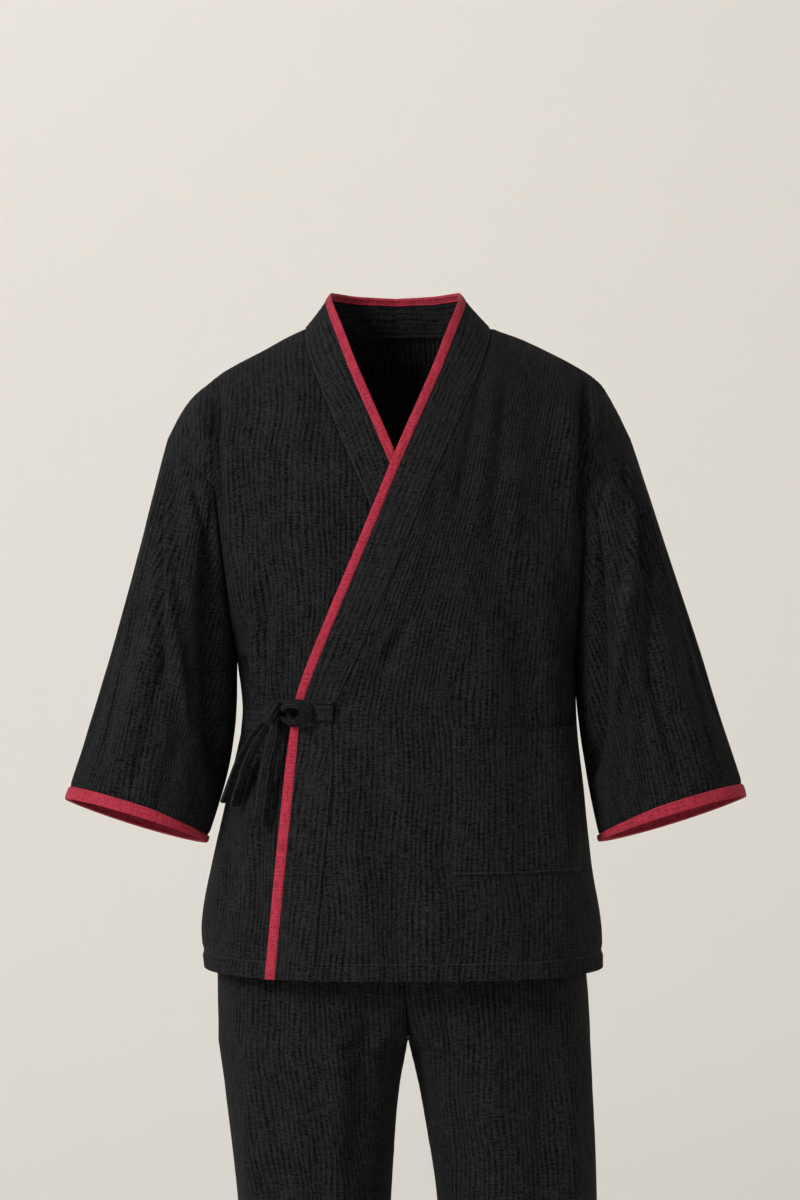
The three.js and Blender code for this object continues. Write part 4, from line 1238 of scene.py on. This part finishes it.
def strap(name, node, from_x, to_x, lift, bottom):
    """A strap laid flat along the front, with two long creases that fade towards its sewn end."""
    columns, rows = 44, 17
    x = np.linspace(from_x, to_x, columns)
    levels = np.linspace(TIE_Z + bottom, TIE_Z + bottom + STRAP_HEIGHT, rows)
    lines = [np.stack([x, body_y("front", x, z) - lift, np.full(columns, z)], axis=-1) for z in levels]
    base = np.stack(lines)
    pattern = np.stack([lengths(base, 0), lengths(base, 1)], axis=-1)
    up = np.linspace(-1, 1, rows)[:, None]
    creases = -0.9 * bump(up - 0.25, 0.12) - 0.7 * bump(up + 0.35, 0.1)
    moved = STRAP_WALL + creases * np.linspace(1.0, 0.3, columns)[None, :]
    strap_wall("strap", name, node, base, pattern, moved, 1)


def make_knot(centre):
    """The knot: a tight lump of strap, with the last turn wrapped across its front."""
    turns, rises = 72, 48
    around = np.linspace(0, 2 * math.pi, turns, endpoint=False)
    rise = np.linspace(-1, 1, rises + 2)[1:-1] * QUARTER
    flat = np.cos(rise)[:, None]
    up = np.broadcast_to(np.sin(rise)[:, None], (rises, turns))
    direction = np.stack([flat * np.cos(around)[None, :], flat * np.sin(around)[None, :], up], axis=-1)
    over = direction[..., 0] * 0.8 - direction[..., 2] * 0.6
    wrap = 0.12 * bump(over + 0.05, 0.5) - 0.2 * bump(over - 0.62, 0.09)
    wrap -= 0.13 * bump(over + 0.66, 0.1)
    creases = 0.035 * np.sin(over * 17 + 2 * direction[..., 2]) * (1 - 0.5 * np.abs(direction[..., 2]))
    size = np.array([KNOT["wide"], KNOT["deep"], KNOT["tall"]])
    body = centre + direction * size * (0.97 + wrap + creases)[..., None]
    pole = np.array([0, 0, KNOT["tall"] * 0.93])
    poles = [centre - pole, centre + pole]
    vertices = np.concatenate([body.reshape(-1, 3), poles])
    number = np.arange(rises * turns).reshape(rises, turns)
    beside = np.roll(number, -1, axis=1)
    faces = np.stack([number[:-1], beside[:-1], beside[1:], number[1:]], axis=-1).reshape(-1, 4).tolist()
    low, high = rises * turns, rises * turns + 1
    faces += [[low, int(b), int(a)] for a, b in zip(number[0], beside[0])]
    faces += [[high, int(a), int(b)] for a, b in zip(number[-1], beside[-1])]
    uv = np.stack([(vertices - centre) @ [0.8, 0.2, -0.6], (vertices - centre) @ [0.6, 0.3, 0.8]], axis=-1)
    piece = make_mesh("bow_knot", vertices, faces, uv, PRESSED_GAUZE)
    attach(piece, "root")
    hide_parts("tie_knot")


def make_loop():
    """The bow's loop, whose front edge is drawn in tighter than its back edge."""
    rows, columns = 90, 23
    angles = np.linspace(-LOOP["turn"], LOOP["turn"], rows) * math.pi

    def edge(place):
        x = place["x"] + place["across"] * np.cos(angles)
        z = place["z"] + place["up"] * np.sin(angles)
        y = np.array([float(body_y("front", a, b)) for a, b in zip(x, z)]) - place["out"]
        return np.stack([x, y, z], axis=-1)

    back, front = edge(LOOP["back"]), edge(LOOP["front"])
    share = np.linspace(0, 1, columns)
    base = mix(back[:, None, :], front[:, None, :], share[None, :, None])
    turned, over = np.linspace(-1, 1, rows)[:, None], share[None, :]
    pleats = 0.8 * np.sin(over * 12 + 2.5 * turned) * turned**2 + 0.4 * np.sin(over * 7 + 5 * turned)
    moved = 1.6 * np.sin(over * math.pi) + pleats * 0.7
    strap_wall("tied strap", "bow_loop", "tie_loop", base, strap_pattern(base, share), moved, -1)


def make_tie():
    k = knot_centre()
    front_end = float(seam_x(1, TIE_Z)) - 1
    side_end = -159
    strap("strap_front", "tie_strap_front", KNOT["x"] + KNOT["wide"] - 3, front_end, OVERLAP_LIFT + 2.6, -5.5)
    strap("strap_side", "tie_strap_side", side_end, KNOT["x"] - KNOT["wide"] + 4, 1.6, -18)
    make_knot(k)
    make_loop()

    def twice_folded(share, down):
        folded = 2.2 * bump(share + 0.36, 0.11) - 3.2 * bump(share + 0.12, 0.1)
        folded += 2.0 * bump(share - 0.12, 0.12)
        return 1.5 * (folded - 4.0 * smooth((share - 0.2) / 0.3)) * (0.45 + 0.55 * down)

    def turned_back(share, down):
        return -9 * smooth((share - 0.14) / 0.36) * (0.5 + 0.5 * down) + 0.8 * bump(share + 0.3, 0.1)

    ribbon("bow_tail_outer", "tie_tail_outer", [
        (k + [-43.8, 19, -94], (1, -0.25, -0.35), 21),
        (k + [-36.7, 12, -71.5], (1, -0.3, -0.35), 19),
        (k + [-29, 6, -49], (1, -0.4, -0.5), 17),
        (k + [-18.4, 0, -28], (1, -0.5, -0.55), 15),
        (k + [-7, -3, -12], (1, -0.4, -0.5), 10),
    ], twice_folded)
    ribbon("bow_tail_inner", "tie_tail_inner", [
        (k + [-11.3, -9, -113], (1, 0.1, -0.2), 20),
        (k + [-8.6, -9, -92], (1, 0.1, -0.2), 18),
        (k + [-5.3, -8, -67], (1, 0.1, -0.2), 17),
        (k + [-1.5, -8, -44], (1, 0.1, -0.15), 16),
        (k + [4, -7, -22], (1, 0.1, -0.1), 14),
        (k + [4, -4, -8], (1, 0.1, 0), 10),
    ], turned_back)


def stitch_tree():
    """Stitches along lines: each stitch is a short thread, laid along its line and slightly sunk."""
    tree = bpy.data.node_groups.new("Topstitching", "GeometryNodeTree")
    socket(tree, "Geometry", "NodeSocketGeometry", "INPUT")
    socket(tree, "Pitch", "NodeSocketFloat", "INPUT", 0.0034)
    socket(tree, "Stitch Length", "NodeSocketFloat", "INPUT", 0.0026)
    socket(tree, "Thread Width", "NodeSocketFloat", "INPUT", 0.0006)
    socket(tree, "Unevenness", "NodeSocketFloat", "INPUT", 0.12)
    socket(tree, "Thread", "NodeSocketMaterial", "INPUT")
    socket(tree, "Geometry", "NodeSocketGeometry", "OUTPUT")
    add = tree.nodes.new
    given, result = add("NodeGroupInput"), add("NodeGroupOutput")
    curve = add("GeometryNodeMeshToCurve")
    spaced = add("GeometryNodeResampleCurve")
    spaced.mode = "LENGTH"
    thread = add("GeometryNodeMeshUVSphere")
    thread.inputs["Segments"].default_value = 6
    thread.inputs["Rings"].default_value = 4
    thread.inputs["Radius"].default_value = 0.5
    size = add("ShaderNodeCombineXYZ")
    shaped = add("GeometryNodeTransform")
    tangent = add("GeometryNodeInputTangent")
    turned = add("FunctionNodeAlignRotationToVector")
    turned.axis = "X"
    placed = add("GeometryNodeInstanceOnPoints")
    varied = add("FunctionNodeRandomValue")
    varied.inputs["Seed"].default_value = 7
    least, most = add("ShaderNodeMath"), add("ShaderNodeMath")
    least.operation, most.operation = "SUBTRACT", "ADD"
    least.inputs[0].default_value = most.inputs[0].default_value = 1.0
    real, finish = add("GeometryNodeRealizeInstances"), add("GeometryNodeSetMaterial")
    least_input, most_input = (s for s in varied.inputs if s.name in ("Min", "Max") and s.type == "VALUE")
    scale = next(s for s in varied.outputs if s.type == "VALUE")
    for source, target in (
        (given.outputs["Geometry"], curve.inputs["Mesh"]),
        (curve.outputs["Curve"], spaced.inputs["Curve"]),
        (given.outputs["Pitch"], spaced.inputs["Length"]),
        (given.outputs["Stitch Length"], size.inputs[0]),
        (given.outputs["Thread Width"], size.inputs[1]),
        (given.outputs["Thread Width"], size.inputs[2]),
        (thread.outputs["Mesh"], shaped.inputs["Geometry"]),
        (size.outputs[0], shaped.inputs["Scale"]),
        (tangent.outputs["Tangent"], turned.inputs["Vector"]),
        (spaced.outputs["Curve"], placed.inputs["Points"]),
        (shaped.outputs["Geometry"], placed.inputs["Instance"]),
        (turned.outputs["Rotation"], placed.inputs["Rotation"]),
        (given.outputs["Unevenness"], least.inputs[1]),
        (given.outputs["Unevenness"], most.inputs[1]),
        (least.outputs[0], least_input),
        (most.outputs[0], most_input),
        (scale, placed.inputs["Scale"]),
        (placed.outputs["Instances"], real.inputs["Geometry"]),
        (real.outputs["Geometry"], finish.inputs["Geometry"]),
        (given.outputs["Thread"], finish.inputs["Material"]),
        (finish.outputs["Geometry"], result.inputs["Geometry"]),
    ):
        link(tree, source, target)
    return tree


def make_stitches(name, colour, material, tree):
    """Every line of one thread, as one plain mesh."""
    vertices, edges = [], []
    for line in STITCH_LINES[colour]:
        first = len(vertices)
        vertices += (line * MM).tolist()
        edges += [(k, k + 1) for k in range(first, len(vertices) - 1)]
    lines = bpy.data.meshes.new(name + "_lines")
    lines.from_pydata(vertices, edges, [])
    guide = bpy.data.objects.new(name + "_guide", lines)
    bpy.context.scene.collection.objects.link(guide)
    sewing = guide.modifiers.new("Sewing", "NODES")
    sewing.node_group = tree
    for item in tree.interface.items_tree:
        if item.name == "Thread" and item.in_out == "INPUT":
            sewing[item.identifier] = material
    evaluated = guide.evaluated_get(bpy.context.evaluated_depsgraph_get())
    mesh = bpy.data.meshes.new_from_object(evaluated)
    mesh.name = name
    guide.modifiers.remove(sewing)
    bpy.data.objects.remove(guide)
    mesh.shade_smooth()
    piece = bpy.data.objects.new(name, mesh)
    bpy.context.scene.collection.objects.link(piece)
    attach(piece, "root")


make_front(-1, FRONT_RIGHT_FOLDS, columns=165, seed=SEEDS["front_right"])
make_front(1, FRONT_LEFT_FOLDS, columns=190, seed=SEEDS["front_left"])
make_back(columns=270)
for side in (-1, 1):
    make_collar_band(side)
    make_collar_binding(side)
for side, rows in ((-1, SLEEVE_RIGHT_FOLDS), (1, SLEEVE_LEFT_FOLDS)):
    make_sleeve(side, rows)
    make_cuff_binding(side)
make_pocket()
make_tie()
for side in (-1, 1):
    make_trouser_panel(side, "front", TROUSER_FRONT_FOLDS)
    make_trouser_panel(side, "back", TROUSER_BACK_FOLDS)
make_waistband()
STITCH_TREE = stitch_tree()
make_stitches("black_stitches", "black", BLACK_THREAD, STITCH_TREE)
make_stitches("crimson_stitches", "red", RED_THREAD, STITCH_TREE)

# ---------------------------------------------------------------- floor, light and camera

FLOOR_Z = -1.5
STUDIO_RADIUS = 5.4
COVE_RADIUS = 2.4
WALL_TOP = 4.0
PAPER = (0.80, 0.775, 0.735, 1)
CAMERA = {"place": (0.0, -2.975, -0.2835), "lens": 85, "sensor": 36}
MIDDLE = (0, 0, -0.45)
LIGHTS = {
    "key": {"place": (-2.7, -2.7, 1.5), "aim": MIDDLE, "size": 1.4, "power": 168},
    "fill": {"place": (2.4, -3.2, 0.6), "aim": MIDDLE, "size": 2.4, "power": 14},
    "wall": {"place": (-1.2, 2.2, 2.8), "aim": (-0.6, 4.6, 0.6), "size": 2.6, "power": 48},
}
AIR = {"Color": (1.0, 0.99, 0.97, 1), "Strength": 0.35}


def make_studio():
    """A round studio: a pale floor that curves up into its wall."""
    profile = [(0.0, FLOOR_Z), (STUDIO_RADIUS - COVE_RADIUS, FLOOR_Z)]
    for angle in np.linspace(0, QUARTER, 12)[1:]:
        reach = STUDIO_RADIUS - COVE_RADIUS + COVE_RADIUS * math.sin(angle)
        profile.append((reach, FLOOR_Z + COVE_RADIUS * (1 - math.cos(angle))))
    profile.append((STUDIO_RADIUS, WALL_TOP))
    turns = 96
    vertices, faces = [], []
    for radius, height in profile:
        for turn in range(turns):
            angle = turn / turns * 2 * math.pi
            vertices.append((radius * math.cos(angle), radius * math.sin(angle), height))
    for ring in range(len(profile) - 1):
        for turn in range(turns):
            beside = (turn + 1) % turns
            a, b = ring * turns + turn, ring * turns + beside
            faces.append((a, a + turns, b + turns, b))
    mesh = bpy.data.meshes.new("studio")
    mesh.from_pydata(vertices, [], faces)
    mesh.shade_smooth()
    material = bpy.data.materials.new("Studio paper")
    material.use_nodes = True
    shader = material.node_tree.nodes["Principled BSDF"]
    shader.inputs["Base Color"].default_value = PAPER
    shader.inputs["Roughness"].default_value = 0.95
    mesh.materials.append(material)
    studio = bpy.data.objects.new("studio", mesh)
    bpy.context.scene.collection.objects.link(studio)


def add_light(name, place, aim, size, power):
    data = bpy.data.lights.new(name, "AREA")
    data.shape, data.size, data.energy = "DISK", size, power
    light = bpy.data.objects.new(name, data)
    light.location = place
    light.rotation_mode = "QUATERNION"
    light.rotation_quaternion = (Vector(aim) - Vector(place)).to_track_quat("-Z", "Y")
    bpy.context.scene.collection.objects.link(light)


def make_camera():
    data = bpy.data.cameras.new("camera")
    data.lens, data.sensor_width = CAMERA["lens"], CAMERA["sensor"]
    camera = bpy.data.objects.new("camera", data)
    camera.location = CAMERA["place"]
    camera.rotation_euler = (QUARTER, 0, 0)
    bpy.context.scene.collection.objects.link(camera)
    bpy.context.scene.camera = camera


make_studio()
for name, light in LIGHTS.items():
    add_light(name, **light)
make_camera()
scene = bpy.context.scene
scene.view_settings.view_transform = "Standard"
world = bpy.data.worlds.new("Studio air")
scene.world = world
world.use_nodes = True
for name, value in AIR.items():
    world.node_tree.nodes["Background"].inputs[name].default_value = value

for name, width, length, area in SHEETS:
    print(f"cut {name}: {width:.3f} x {length:.3f} m, {area:.4f} square metres")
